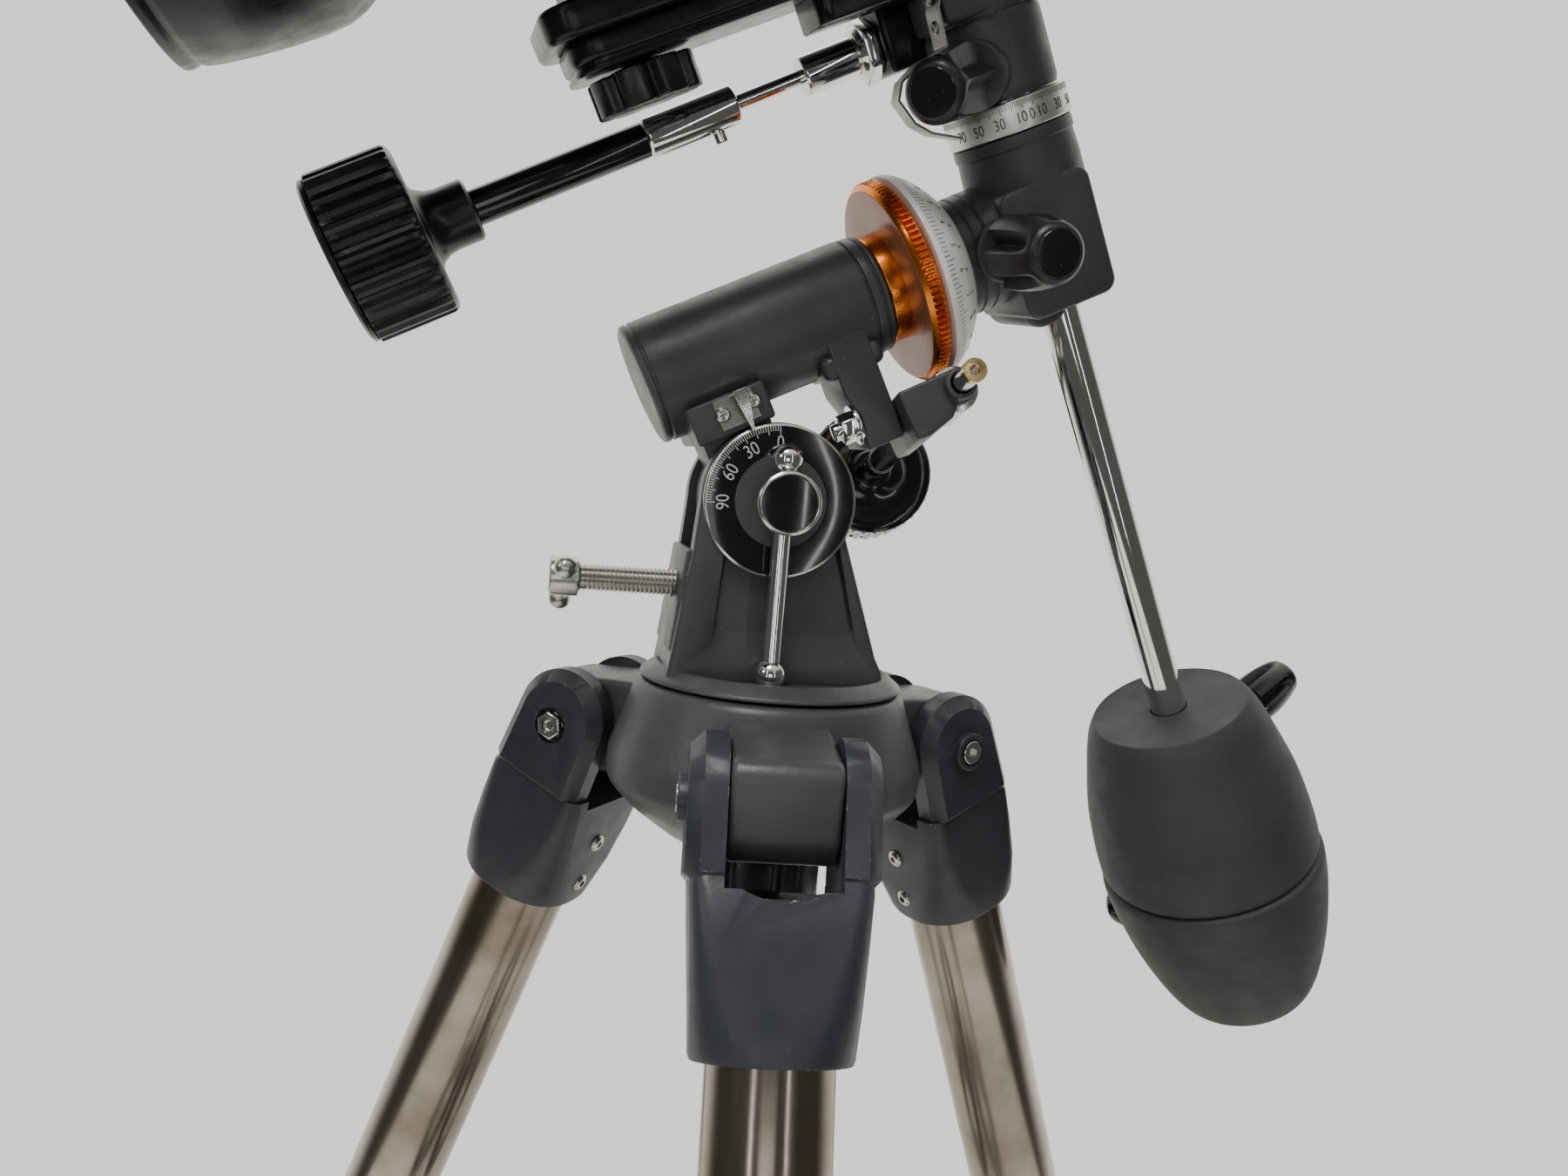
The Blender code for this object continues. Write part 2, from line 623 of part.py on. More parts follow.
def build_declination_axis():
    part("dec_dial", lathe([(18.2, 36.9), (18.2, 28.4), (DEC_SHAFT_BORE, 28.4), (DEC_SHAFT_BORE, 36.9)], 24, ring=True),
         DEC, "silver_satin")
    part("dec_shaft", cylinder(DEC_SHAFT_RADIUS, -10.5, 53, 20), DEC, "steel")
    part("counterweight_bar", cylinder(BAR_RADIUS, -BAR_END, -13.3, 16), DEC, "chrome")
    upper = [(25, 170), (27, 171), (33, 188), (37.2, 205), (38.3, 228), (37.5, 231.6)]
    lower = [(38, 232), (39, 234), (37.8, 246), (35, 262), (27.5, 285.5), (22.4, 293), (18, 296)]
    part("counterweight_upper", counterweight(upper), DEC, "weight_paint")
    part("counterweight_lower", counterweight(lower), DEC, "weight_paint")
    for name, station, reach, azimuth in (("upper", 192, 61, 20), ("lower", 262, 50, 125)):
        knob_direction = DEC.to_3x3() @ Vector((math.cos(math.radians(azimuth)), math.sin(math.radians(azimuth)), 0))
        place = frame(CROSSING - DEC_AXIS * station, DEC_AXIS, knob_direction)
        part(f"weight_knob_{name}", weight_knob(reach), place, "black_plastic")
    part("dec_head", dec_head(), DEC, "mount_paint")
    lock_direction = Vector((-math.cos(math.radians(46)), -math.sin(math.radians(46)), 0))
    direction = DEC.to_3x3() @ lock_direction
    part("dec_lock_knob", lock_knob(), frame(CROSSING + DEC_AXIS * 46.3, DEC_AXIS, direction), "black_plastic")
    part("dec_worm_block", dec_worm_block(), DEC, "mount_paint")
    part("dec_worm", dec_worm(), DEC_WORM, "steel")
    # The control cable leaves the worm block with a slight droop.
    cable = DEC_WORM @ at(z=31.7) @ turned(-1.28, "Y")
    part("dec_flex_shaft", dec_flex_shaft(), cable, "black_plastic")
    part("dec_knob", dec_knob(), cable, "black_plastic")
    part("saddle_plate", saddle_plate(), DEC, "black_gloss")
    nut = ring_nut()
    for name, side in (("rear", -1), ("front", 1)):
        part(f"ring_nut_{name}", nut, DEC @ at(x=side * RING_STATION), "black_plastic")


# ---------------------------------------------------------------- optical tube
def tube_ring():
    """A clamping ring round the tube, with its foot on the saddle plate and its clamp block opposite."""
    band = lathe([(86.5, 10), (86.5, -10), (82.45, -10), (82.45, 10)], 48, ring=True)
    foot = box((-TUBE_DISTANCE + PLATE_TOP + GAP, -84.6), (-18, 18), (-12, 12))
    clamp = box((84.6, 99), (-8, 8), (-8, 8))
    bolt_bore = along_x(cylinder(4.5, -110, -TUBE_DISTANCE + 101, 12))
    return cut(joined(band, foot, clamp), bolt_bore)


def tube_shell():
    inner = TUBE_RADIUS - 1.0
    shell = lathe(
        [(TUBE_RADIUS, TUBE_FRONT), (TUBE_RADIUS, TUBE_REAR), (inner, TUBE_REAR), (inner, TUBE_FRONT)], 48, ring=True
    )
    opening = moved(cylinder(26.5, 40, 100, 20), OPTICS.inverted() @ FOCUSER)
    return cut(shell, opening)


def rear_cell():
    """The cup round the tube's rear end, with a back plate behind the mirror."""
    profile = [
        (86, -154), (89.7, -164), (90, -172), (87.6, -202), (87.6, -206.3), (82, -206.3), (82, -200), (28, -200),
        (28, -196.6), (80, -196.6), (80, -166.5), (82.4, -166.5), (82.4, -154),
    ]
    return lathe(profile, 40, ring=True)


def primary_mirror():
    """A thick glass disc with a hollowed front of 1300 mm radius."""
    curvature = 1300.0
    edge_height = -175.0
    radii = (0, 22, 44, MIRROR_RADIUS)
    front = [(radius, edge_height - (MIRROR_RADIUS**2 - radius**2) / (2 * curvature)) for radius in radii]
    return lathe([*front, (MIRROR_RADIUS, -196.2), (0, -196.2)], 28)


def spider():
    """Three thin vanes from the tube's wall to the boss of the secondary mirror."""
    hub = cylinder(9, 342, 364, 14)
    vanes = []
    for azimuth in (30, 150, 270):
        vanes.append(moved(box((5, 80.4), (-0.7, 0.7), (346, 360)), turned(azimuth, "Z")))
    return joined(hub, *vanes)


def secondary_mirror():
    """A rod cut at 45 degrees toward the focuser."""
    rod = cylinder(20, FOCUSER_STATION - 22, 341.7, 20)
    slope = turned(FOCUSER_ANGLE, "Z") @ at(z=FOCUSER_STATION) @ turned(45, "Y")
    return cut(rod, moved(box((-60, 60), (-60, 60), (-80, 0)), slope))


def focuser_body():
    """In the focuser's frame, whose Z runs out from the tube's axis and whose X runs back along the tube."""
    base = joined(cylinder(33, 70, 95, 24), cylinder(28, 90, 135, 24), box((24, 48), (-12, 12), (98, 126)))
    drawtube_bore = cylinder(24.4, 60, 150, 20)
    tube_bore = along_x(cylinder(TUBE_RADIUS + 0.5, -60, 60, 48))
    shaft_bore = moved(along_y(cylinder(3.4, -30, 30, 12)), at(x=40, z=112))
    return cut(base, drawtube_bore, tube_bore, shaft_bore)


def drawtube():
    profile = [
        (25.5, 165), (25.5, 158), (23.9, 158), (23.9, 86), (22.4, 86), (22.4, 150), (16.1, 150), (16.1, 165),
    ]
    return lathe(profile, 20, ring=True)


def focus_knobs():
    """Two knobs on one pinion shaft, which lies along Z."""
    half = [(0, 30), (12, 30), (14, 28), (14, 16), (3, 16)]
    return lathe([*half, *[(radius, -height) for radius, height in reversed(half)]], 16)


def eyepiece():
    profile = [(0, 196), (13, 196), (17, 190), (18.5, 184), (18.5, 166.5), (17, 165.4), (15.7, 165.4), (15.7, 142), (0, 142)]
    return lathe(profile, 18)


def finder():
    """A small refracting sight on a post, along Z beside the tube."""
    distance = 116.0
    profile = [
        (0, 385), (21, 385), (21, 345), (17, 335), (15, 240), (11, 232), (13, 228), (13, 212), (0, 212),
    ]
    sight = moved(lathe(profile, 18), at(x=distance))
    post = box((TUBE_RADIUS + 0.6, distance - 10), (-7, 7), (275, 305))
    return joined(sight, post)


def build_optics():
    ring = tube_ring()
    part("tube_ring_rear", ring, OPTICS @ at(z=-RING_STATION), "mount_paint")
    part("tube_ring_front", ring, OPTICS @ at(z=RING_STATION), "mount_paint")
    part("tube", tube_shell(), OPTICS, "tube_paint")
    part("rear_cell", rear_cell(), OPTICS, "tube_paint")
    part("primary_mirror", primary_mirror(), OPTICS, "mirror")
    part("spider", spider(), OPTICS, "black_plastic")
    part("secondary_mirror", secondary_mirror(), OPTICS, "mirror")
    part("focuser_body", focuser_body(), FOCUSER, "black_plastic")
    part("drawtube", drawtube(), FOCUSER, "chrome")
    part("focus_knobs", focus_knobs(), FOCUSER @ at(x=40, z=112) @ turned(90, "X"), "black_plastic")
    part("eyepiece", eyepiece(), FOCUSER, "black_plastic")
    part("finder", finder(), FINDER, "black_plastic")


build_tripod()
build_base()
build_polar_axis()
build_declination_axis()
build_optics()
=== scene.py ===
"""The looks of a Newtonian reflector telescope on its equatorial mount and steel tripod.

Lengths are in millimetres and become metres in the mesh helpers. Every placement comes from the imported
model's joints, and each piece is modelled in the frame of the joint that it turns or slides on.
"""

import json
import math

import bmesh
import bpy
from mathutils import Matrix, Vector


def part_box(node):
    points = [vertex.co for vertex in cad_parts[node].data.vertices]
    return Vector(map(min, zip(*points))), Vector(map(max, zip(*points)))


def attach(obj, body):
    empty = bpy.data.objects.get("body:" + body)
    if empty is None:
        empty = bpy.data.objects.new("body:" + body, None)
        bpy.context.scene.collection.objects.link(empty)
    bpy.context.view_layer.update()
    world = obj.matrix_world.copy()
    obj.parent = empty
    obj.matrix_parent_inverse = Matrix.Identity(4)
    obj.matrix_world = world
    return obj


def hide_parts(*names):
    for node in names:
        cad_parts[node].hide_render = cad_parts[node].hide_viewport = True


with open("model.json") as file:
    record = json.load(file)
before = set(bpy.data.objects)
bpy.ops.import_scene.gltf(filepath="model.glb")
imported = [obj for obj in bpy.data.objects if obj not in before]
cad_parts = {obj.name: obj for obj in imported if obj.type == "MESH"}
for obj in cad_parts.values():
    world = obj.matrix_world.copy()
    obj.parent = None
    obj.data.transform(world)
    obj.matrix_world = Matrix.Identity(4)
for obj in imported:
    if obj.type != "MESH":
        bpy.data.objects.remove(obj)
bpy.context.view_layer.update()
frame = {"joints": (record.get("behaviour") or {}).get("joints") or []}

MM = 0.001
UP = Vector((0, 0, 1))
JOINTS = {joint["name"]: joint for joint in frame["joints"]}


def axis_of(name):
    return Vector(JOINTS[name]["axis"])


def pivot_of(name):
    return Vector(JOINTS[name]["pos_m"])


def placement(origin, x_axis, z_axis):
    """A 4x4 placement from an origin in metres and two directions at right angles."""
    x = x_axis.normalized()
    z = z_axis.normalized()
    result = Matrix((x, z.cross(x), z)).transposed().to_4x4()
    result.translation = origin
    return result


def on_joint(name, x_axis):
    """A placement at a joint, with Z along the joint's axis."""
    return placement(pivot_of(name), x_axis, axis_of(name))


def at(x=0.0, y=0.0, z=0.0):
    return Matrix.Translation(Vector((x, y, z)) * MM)


def turn(degrees, axis):
    return Matrix.Rotation(math.radians(degrees), 4, axis)


# Takes a shape drawn in (Z, X) with its thickness along Y, to X, Y and Z.
CYCLED = Matrix(((0, 1, 0, 0), (0, 0, 1, 0), (1, 0, 0, 0), (0, 0, 0, 1)))


# ------------------------------------------------------------------ frames, from the joints
SIDE = axis_of("latitude_tilt")
FORWARD = UP.cross(SIDE)
POLAR = axis_of("ra_turn")
NORMAL = SIDE.cross(POLAR)
DEC_AXIS = axis_of("dec_turn")
PIVOT = pivot_of("latitude_tilt")
TRIPOD = placement(pivot_of("azimuth_turn"), Vector((1, 0, 0)), UP)
BASE = placement(pivot_of("azimuth_turn"), FORWARD, UP)
PIVOT_LEVEL = placement(PIVOT, FORWARD, UP)
PIVOT_AXIS = on_joint("latitude_tilt", FORWARD)
RA = on_joint("ra_turn", NORMAL)
WORM = on_joint("ra_knob_turn", POLAR)
RA_LOCK = on_joint("ra_lock_turn", POLAR)
DEC = on_joint("dec_turn", POLAR)
DEC_LOCK = on_joint("dec_lock_turn", DEC_AXIS)
DEC_WORM = placement(pivot_of("dec_worm_turn"), DEC_AXIS, -POLAR)
CABLE = on_joint("dec_knob_turn", SIDE.cross(axis_of("dec_knob_turn")))
OPTICS = placement(pivot_of("tube_roll"), DEC_AXIS, POLAR)
FOCUS_OUT = axis_of("drawtube_slide")
# The focuser's axis is 40 mm in front of its knobs' axis.
FOCUSER_STATION = (pivot_of("focus_turn") - pivot_of("tube_roll")).dot(POLAR) / MM + 40
FOCUSER = placement(pivot_of("tube_roll") + POLAR * FOCUSER_STATION * MM, -POLAR, FOCUS_OUT)
FINDER = OPTICS @ turn(95, "Z")
SIDES = ("front", "right", "left")
ENDS = (("rear", -1), ("front", 1))
RING_REACH = 98  # from the declination axis to the middle of each tube ring
BRACE_X, BRACE_Z = -24, -400  # the brace arm's pin in its leg's frame
FOCAL_LENGTH = 650


def leg_frame(side):
    """At a leg's hinge: Z up along the leg, X outward, Y along the hinge pin."""
    down = axis_of(f"leg_{side}_extend")
    pin = axis_of(f"leg_{side}_fold")
    return placement(pivot_of(f"leg_{side}_fold"), pin.cross(-down), -down)


LEGS = {side: leg_frame(side) for side in SIDES}
LEG_AZIMUTHS = {
    side: math.degrees(math.atan2(LEGS[side].col[0][1], LEGS[side].col[0][0]))
    for side in SIDES
}
SPLAY = math.degrees(math.asin(LEGS["front"].col[0][2]))


# ------------------------------------------------------------------ mesh helpers
def finished(shape):
    mesh = bpy.data.meshes.new("shape")
    shape.to_mesh(mesh)
    shape.free()
    return mesh


def moved(mesh, place):
    mesh.transform(place)
    return mesh


def along_y(mesh):
    return moved(mesh, turn(90, "X"))


def along_x(mesh):
    return moved(mesh, turn(90, "Y"))


def baked(thing):
    bpy.context.view_layer.update()
    graph = bpy.context.evaluated_depsgraph_get()
    mesh = bpy.data.meshes.new_from_object(thing.evaluated_get(graph))
    bpy.data.objects.remove(thing)
    return mesh


def helper(data):
    thing = bpy.data.objects.new("helper", data)
    bpy.context.scene.collection.objects.link(thing)
    return thing


def eased(mesh, width, segments=2, angle=30):
    """The mesh with its sharp edges rounded."""
    thing = helper(mesh)
    bevel = thing.modifiers.new("ease", "BEVEL")
    bevel.width = width * MM
    bevel.segments = segments
    bevel.limit_method = "ANGLE"
    bevel.angle_limit = math.radians(angle)
    return baked(thing)


def boolean(base, operation, others):
    thing = helper(base)
    tools = [helper(other) for other in others]
    for tool in tools:
        change = thing.modifiers.new(operation.lower(), "BOOLEAN")
        change.operation = operation
        change.solver = "EXACT"
        change.object = tool
    mesh = baked(thing)
    for tool in tools:
        bpy.data.objects.remove(tool)
    return mesh


def joined(base, *others):
    return boolean(base, "UNION", others)


def cut(base, *others):
    return boolean(base, "DIFFERENCE", others)


def together(*meshes):
    """Several meshes as one, each keeping its own surface."""
    shape = bmesh.new()
    for mesh in meshes:
        shape.from_mesh(mesh)
    return finished(shape)


def block(x, y, z, ease=0.0):
    shape = bmesh.new()
    size = Vector((x[1] - x[0], y[1] - y[0], z[1] - z[0])) * MM
    middle = Vector((x[0] + x[1], y[0] + y[1], z[0] + z[1])) * MM / 2
    bmesh.ops.create_cube(
        shape, size=1.0, matrix=Matrix.Translation(middle) @ Matrix.Diagonal((*size, 1.0)),
    )
    mesh = finished(shape)
    return eased(mesh, ease, 3) if ease else mesh


def ball(radius, z=0.0):
    shape = bmesh.new()
    bmesh.ops.create_uvsphere(shape, u_segments=40, v_segments=24, radius=radius * MM, matrix=at(z=z))
    return finished(shape)


def filleted(profile, radius, steps=3):
    """The profile with each corner replaced by a short arc-like curve."""
    points = [profile[0]]
    for before, corner, after in zip(profile, profile[1:], profile[2:]):
        corner_point = Vector(corner)
        to_before = Vector(before) - corner_point
        to_after = Vector(after) - corner_point
        reach = min(radius, to_before.length * 0.45, to_after.length * 0.45)
        start = corner_point + to_before.normalized() * reach
        end = corner_point + to_after.normalized() * reach
        for step in range(steps + 1):
            share = step / steps
            mix = start * (1 - share) ** 2 + corner_point * 2 * share * (1 - share) + end * share**2
            points.append((mix.x, mix.y))
    points.append(profile[-1])
    return points


def lathe(profile, steps=96, ease=0.0, ring=False, shape_of=None):
    """Turn (radius, height) points about Z. shape_of(angle, radius, height) may change each radius."""
    if ring:
        profile = [*profile, profile[0]]
    if ease:
        profile = filleted(profile, ease)
    if ring:
        profile = profile[:-1]
    shape = bmesh.new()
    columns = []
    poles = {}
    for step in range(steps):
        angle = 2 * math.pi * step / steps
        column = []
        for index, (radius, height) in enumerate(profile):
            if radius < 0.001:
                if index not in poles:
                    poles[index] = shape.verts.new((0, 0, height * MM))
                column.append(poles[index])
                continue
            reach = shape_of(angle, radius, height) if shape_of else radius
            column.append(
                shape.verts.new((reach * math.cos(angle) * MM, reach * math.sin(angle) * MM, height * MM))
            )
        columns.append(column)
    rows = len(profile) if ring else len(profile) - 1
    for step in range(steps):
        left = columns[step]
        right = columns[(step + 1) % steps]
        for row in range(rows):
            below = (row + 1) % len(profile)
            corners = []
            for vertex in (left[row], left[below], right[below], right[row]):
                if vertex not in corners:
                    corners.append(vertex)
            if len(corners) > 2:
                shape.faces.new(corners)
    bmesh.ops.recalc_face_normals(shape, faces=shape.faces)
    return finished(shape)


def rod(radius, low, high, steps=48, ease=0.0):
    return lathe([(0, high), (radius, high), (radius, low), (0, low)], steps, ease)


def hollow_rod(outer, inner, high, low, steps=96, ease=0.0, shape_of=None):
    """A plain tube or ring about Z."""
    return lathe([(outer, high), (outer, low), (inner, low), (inner, high)], steps, ease, True, shape_of)


def slab(outline, low, high, ease=0.0, segments=2):
    """A flat outline in X and Y, with its thickness along Z."""
    shape = bmesh.new()
    base = shape.faces.new([shape.verts.new((x * MM, y * MM, low * MM)) for x, y in outline])
    grown = bmesh.ops.extrude_face_region(shape, geom=[base])
    raised = [item for item in grown["geom"] if isinstance(item, bmesh.types.BMVert)]
    bmesh.ops.translate(shape, verts=raised, vec=(0, 0, (high - low) * MM))
    bmesh.ops.recalc_face_normals(shape, faces=shape.faces)
    mesh = finished(shape)
    return eased(mesh, ease, segments) if ease else mesh


def arc(x, y, radius, start, end, steps=16):
    angles = [math.radians(start + (end - start) * step / steps) for step in range(steps + 1)]
    return [(x + radius * math.cos(angle), y + radius * math.sin(angle)) for angle in angles]


def rounded(x0, x1, y0, y1, corner, steps=6):
    return [
        *arc(x1 - corner, y1 - corner, corner, 0, 90, steps),
        *arc(x0 + corner, y1 - corner, corner, 90, 180, steps),
        *arc(x0 + corner, y0 + corner, corner, 180, 270, steps),
        *arc(x1 - corner, y0 + corner, corner, 270, 360, steps),
    ]


def loft(sections):
    """A closed skin through (outline, height) sections with equal numbers of points."""
    shape = bmesh.new()
    loops = [
        [shape.verts.new((x * MM, y * MM, height * MM)) for x, y in outline]
        for outline, height in sections
    ]
    count = len(loops[0])
    for lower, upper in zip(loops, loops[1:]):
        for index in range(count):
            after = (index + 1) % count
            shape.faces.new((lower[index], lower[after], upper[after], upper[index]))
    shape.faces.new(loops[0])
    shape.faces.new(loops[-1])
    bmesh.ops.recalc_face_normals(shape, faces=shape.faces)
    return finished(shape)


def ribbon(route, thickness, half_widths):
    """A bent metal strip along (x, z) points, with its width along Y."""
    shape = bmesh.new()
    rows = []
    for index, place in enumerate(route):
        before = Vector(route[max(index - 1, 0)])
        after = Vector(route[min(index + 1, len(route) - 1)])
        along = (after - before).normalized()
        across = Vector((-along.y, along.x)) * thickness / 2
        reach = half_widths[index]
        corners = []
        for side, edge in ((1, 1), (1, -1), (-1, -1), (-1, 1)):
            spot = Vector(place) + across * side
            corners.append(shape.verts.new((spot.x * MM, edge * reach * MM, spot.y * MM)))
        rows.append(corners)
    for lower, upper in zip(rows, rows[1:]):
        for index in range(4):
            after = (index + 1) % 4
            shape.faces.new((lower[index], lower[after], upper[after], upper[index]))
    shape.faces.new(rows[0])
    shape.faces.new(rows[-1])
    bmesh.ops.recalc_face_normals(shape, faces=shape.faces)
    return eased(finished(shape), 0.12, 1)


def hexagon(across_flats, low, high, ease):
    outline = arc(0, 0, across_flats / math.sqrt(3), 0, 300, 5)
    return slab(outline, low, high, ease)


def wrapped(mesh, place_of):
    """Move every vertex by place_of(x, y, z), all in millimetres."""
    for vertex in mesh.vertices:
        vertex.co = Vector(place_of(*(vertex.co / MM))) * MM
    return mesh


FONT_SCALE = 1.38  # font size over the height of a numeral
CONDENSED = 0.8  # width of the numerals on the dials over the font's own


def numeral(text, height, thickness=0.12):
    """A number lying in X and Y, centred, with its thickness along Z."""
    curve = bpy.data.curves.new("numeral", "FONT")
    curve.body = text
    curve.size = height * FONT_SCALE * MM
    curve.align_x = "CENTER"
    curve.align_y = "CENTER"
    curve.extrude = thickness / 2 * MM
    curve.resolution_u = 4
    curve.offset = -0.009 * height * MM
    return baked(helper(curve))


def dial_marks(radius_at, count, lengths, numbers, number_at, height, width=0.16):
    """Ticks and numbers on a dial's skin, which radius_at(along) gives as a (radius, height) pair.

    lengths gives a tick's (start, end) along the skin from its index. Numbers are (text, angle) pairs.
    """
    shapes = []

    def on_skin(turn_angle, lift):
        def place(x, y, z):
            radius, level = radius_at(y)
            angle = turn_angle + x / max(radius, 1.0)
            reach = radius + lift + z
            return (reach * math.cos(angle), reach * math.sin(angle), level)

        return place

    for index in range(count):
        span = lengths(index)
        tick = bmesh.new()
        bmesh.ops.create_grid(tick, x_segments=1, y_segments=6, size=0.5)
        for vertex in tick.verts:
            vertex.co.x *= width * MM
            vertex.co.y = (span[0] + (vertex.co.y + 0.5) * (span[1] - span[0])) * MM
        shapes.append(wrapped(finished(tick), on_skin(2 * math.pi * index / count, 0.04)))
    for text, angle in numbers:
        digits = numeral(text, height)
        moved(digits, Matrix.Diagonal((CONDENSED, 1, 1, 1)))
        moved(digits, at(y=number_at))
        shapes.append(wrapped(digits, on_skin(math.radians(angle), 0.02)))
    return together(*shapes)


# ------------------------------------------------------------------ materials
class Nodes:
    """A small helper that builds one procedural material."""

    def __init__(self, name, colour, roughness, metallic=0.0):
        self.material = bpy.data.materials.new(name)
        self.material.use_nodes = True
        self.tree = self.material.node_tree
        self.shader = self.tree.nodes["Principled BSDF"]
        self.shader.inputs["Base Color"].default_value = (*colour, 1)
        self.shader.inputs["Roughness"].default_value = roughness
        self.shader.inputs["Metallic"].default_value = metallic
        self.colour = colour
        self.height = None
        place = self.tree.nodes.new("ShaderNodeTexCoord")
        self.place = place.outputs["Object"]

    def node(self, kind, **settings):
        made = self.tree.nodes.new(kind)
        for key, value in settings.items():
            setattr(made, key, value)
        return made

    def link(self, source, target):
        self.tree.links.new(source, target)

    def stretched(self, scale):
        mapping = self.node("ShaderNodeMapping")
        mapping.inputs["Scale"].default_value = scale
        self.link(self.place, mapping.inputs["Vector"])
        return mapping.outputs["Vector"]

    def around(self):
        """Coordinates that are even all round the Z axis, for turned surfaces."""
        split = self.node("ShaderNodeSeparateXYZ")
        self.link(self.place, split.inputs["Vector"])
        flat = self.node("ShaderNodeCombineXYZ")
        self.link(split.outputs["X"], flat.inputs["X"])
        self.link(split.outputs["Y"], flat.inputs["Y"])
        length = self.node("ShaderNodeVectorMath", operation="LENGTH")
        self.link(flat.outputs["Vector"], length.inputs[0])
        result = self.node("ShaderNodeCombineXYZ")
        self.link(length.outputs["Value"], result.inputs["X"])
        self.link(split.outputs["Z"], result.inputs["Z"])
        return result.outputs["Vector"]

    def noise(self, scale, detail=3.0, rough=0.55, vector=None):
        made = self.node("ShaderNodeTexNoise")
        made.inputs["Scale"].default_value = scale
        made.inputs["Detail"].default_value = detail
        made.inputs["Roughness"].default_value = rough
        self.link(vector or self.place, made.inputs["Vector"])
        return made.outputs["Fac"]

    def spread(self, value, low, high, out_low, out_high):
        made = self.node("ShaderNodeMapRange")
        for key, number in (("From Min", low), ("From Max", high), ("To Min", out_low), ("To Max", out_high)):
            made.inputs[key].default_value = number
        self.link(value, made.inputs["Value"])
        return made.outputs["Result"]

    def times(self, first, second):
        made = self.node("ShaderNodeMath", operation="MULTIPLY")
        self.link(first, made.inputs[0])
        self.link(second, made.inputs[1])
        return made.outputs["Value"]

    def mixed(self, factor, below, above):
        """Blend a colour, or the colour of another node, toward a second colour."""
        made = self.node("ShaderNodeMix", data_type="RGBA")
        self.link(factor, made.inputs["Factor"])
        for key, value in ((6, below), (7, above)):
            if isinstance(value, tuple):
                made.inputs[key].default_value = (*value, 1)
            else:
                self.link(value, made.inputs[key])
        return made.outputs[2]

    def bump(self, value, strength, distance):
        made = self.node("ShaderNodeBump")
        made.inputs["Strength"].default_value = strength
        made.inputs["Distance"].default_value = distance * MM
        self.link(value, made.inputs["Height"])
        if self.height:
            self.link(self.height, made.inputs["Normal"])
        self.height = made.outputs["Normal"]
        self.link(self.height, self.shader.inputs["Normal"])

    def roughness(self, value):
        self.link(value, self.shader.inputs["Roughness"])

    def paint(self, colour):
        self.link(colour, self.shader.inputs["Base Color"])

    def edge_mask(self, radius, low=0.90, high=0.985):
        """1 on convex edges, 0 on flats."""
        bevel = self.node("ShaderNodeBevel", samples=4)
        bevel.inputs["Radius"].default_value = radius * MM
        normal = self.node("ShaderNodeNewGeometry").outputs["Normal"]
        dot = self.node("ShaderNodeVectorMath", operation="DOT_PRODUCT")
        self.link(bevel.outputs["Normal"], dot.inputs[0])
        self.link(normal, dot.inputs[1])
        return self.spread(dot.outputs["Value"], low, high, 1.0, 0.0)


def shade(colour, factor):
    return tuple(min(channel * factor, 1.0) for channel in colour)


def cast_paint(name, colour, rough, peel=900.0, depth=0.16, chips=0.70, chip_colour=(0.42, 0.42, 0.41)):
    """Paint on a casting: orange peel, slow tone changes, rubbed edges and small chips."""
    look = Nodes(name, colour, rough)
    tone = look.noise(45, 4)
    base = look.mixed(look.spread(tone, 0.35, 0.65, 0, 1), shade(colour, 0.88), shade(colour, 1.14))
    rub = look.times(look.edge_mask(0.7), look.spread(look.noise(260, 5, 0.7), 0.50, 0.66, 0, 0.55))
    base = look.mixed(rub, base, shade(colour, 3.0))
    spots = look.spread(look.noise(330, 6, 0.75), chips, chips + 0.02, 0, 0.8)
    nicks = look.times(look.edge_mask(0.35), look.spread(look.noise(520, 4, 0.7), 0.60, 0.63, 0, 0.9))
    look.paint(look.mixed(nicks, look.mixed(spots, base, chip_colour), shade(chip_colour, 1.3)))
    look.roughness(look.spread(look.noise(120, 4), 0.3, 0.7, rough - 0.07, rough + 0.08))
    look.bump(look.noise(peel, 5, 0.6), 0.55, depth)
    look.bump(look.noise(peel * 0.22, 3), 0.3, depth * 1.6)
    return look.material


def plain_metal(name, colour, rough, streak=None, tint=None, bump=0.015, mottle=30, metallic=1.0):
    """Bare metal with fine streaks, faint stains and small scratches."""
    look = Nodes(name, colour, rough, metallic)
    vector = look.stretched(streak) if streak else look.around()
    lines = look.noise(1.0 if streak else 2600, 4, 0.6, vector)
    stain = look.noise(mottle, 4, 0.6)
    mixed = look.mixed(
        look.spread(stain, 0.35, 0.7, 0, 1), shade(colour, 1.05), tint or shade(colour, 0.82),
    )
    look.paint(mixed)
    uneven = look.times(
        look.spread(lines, 0.2, 0.8, 0.8, 1.25), look.spread(stain, 0.3, 0.7, rough * 0.8, rough * 1.3),
    )
    look.roughness(uneven)
    look.bump(lines, 0.4, bump)
    return look.material


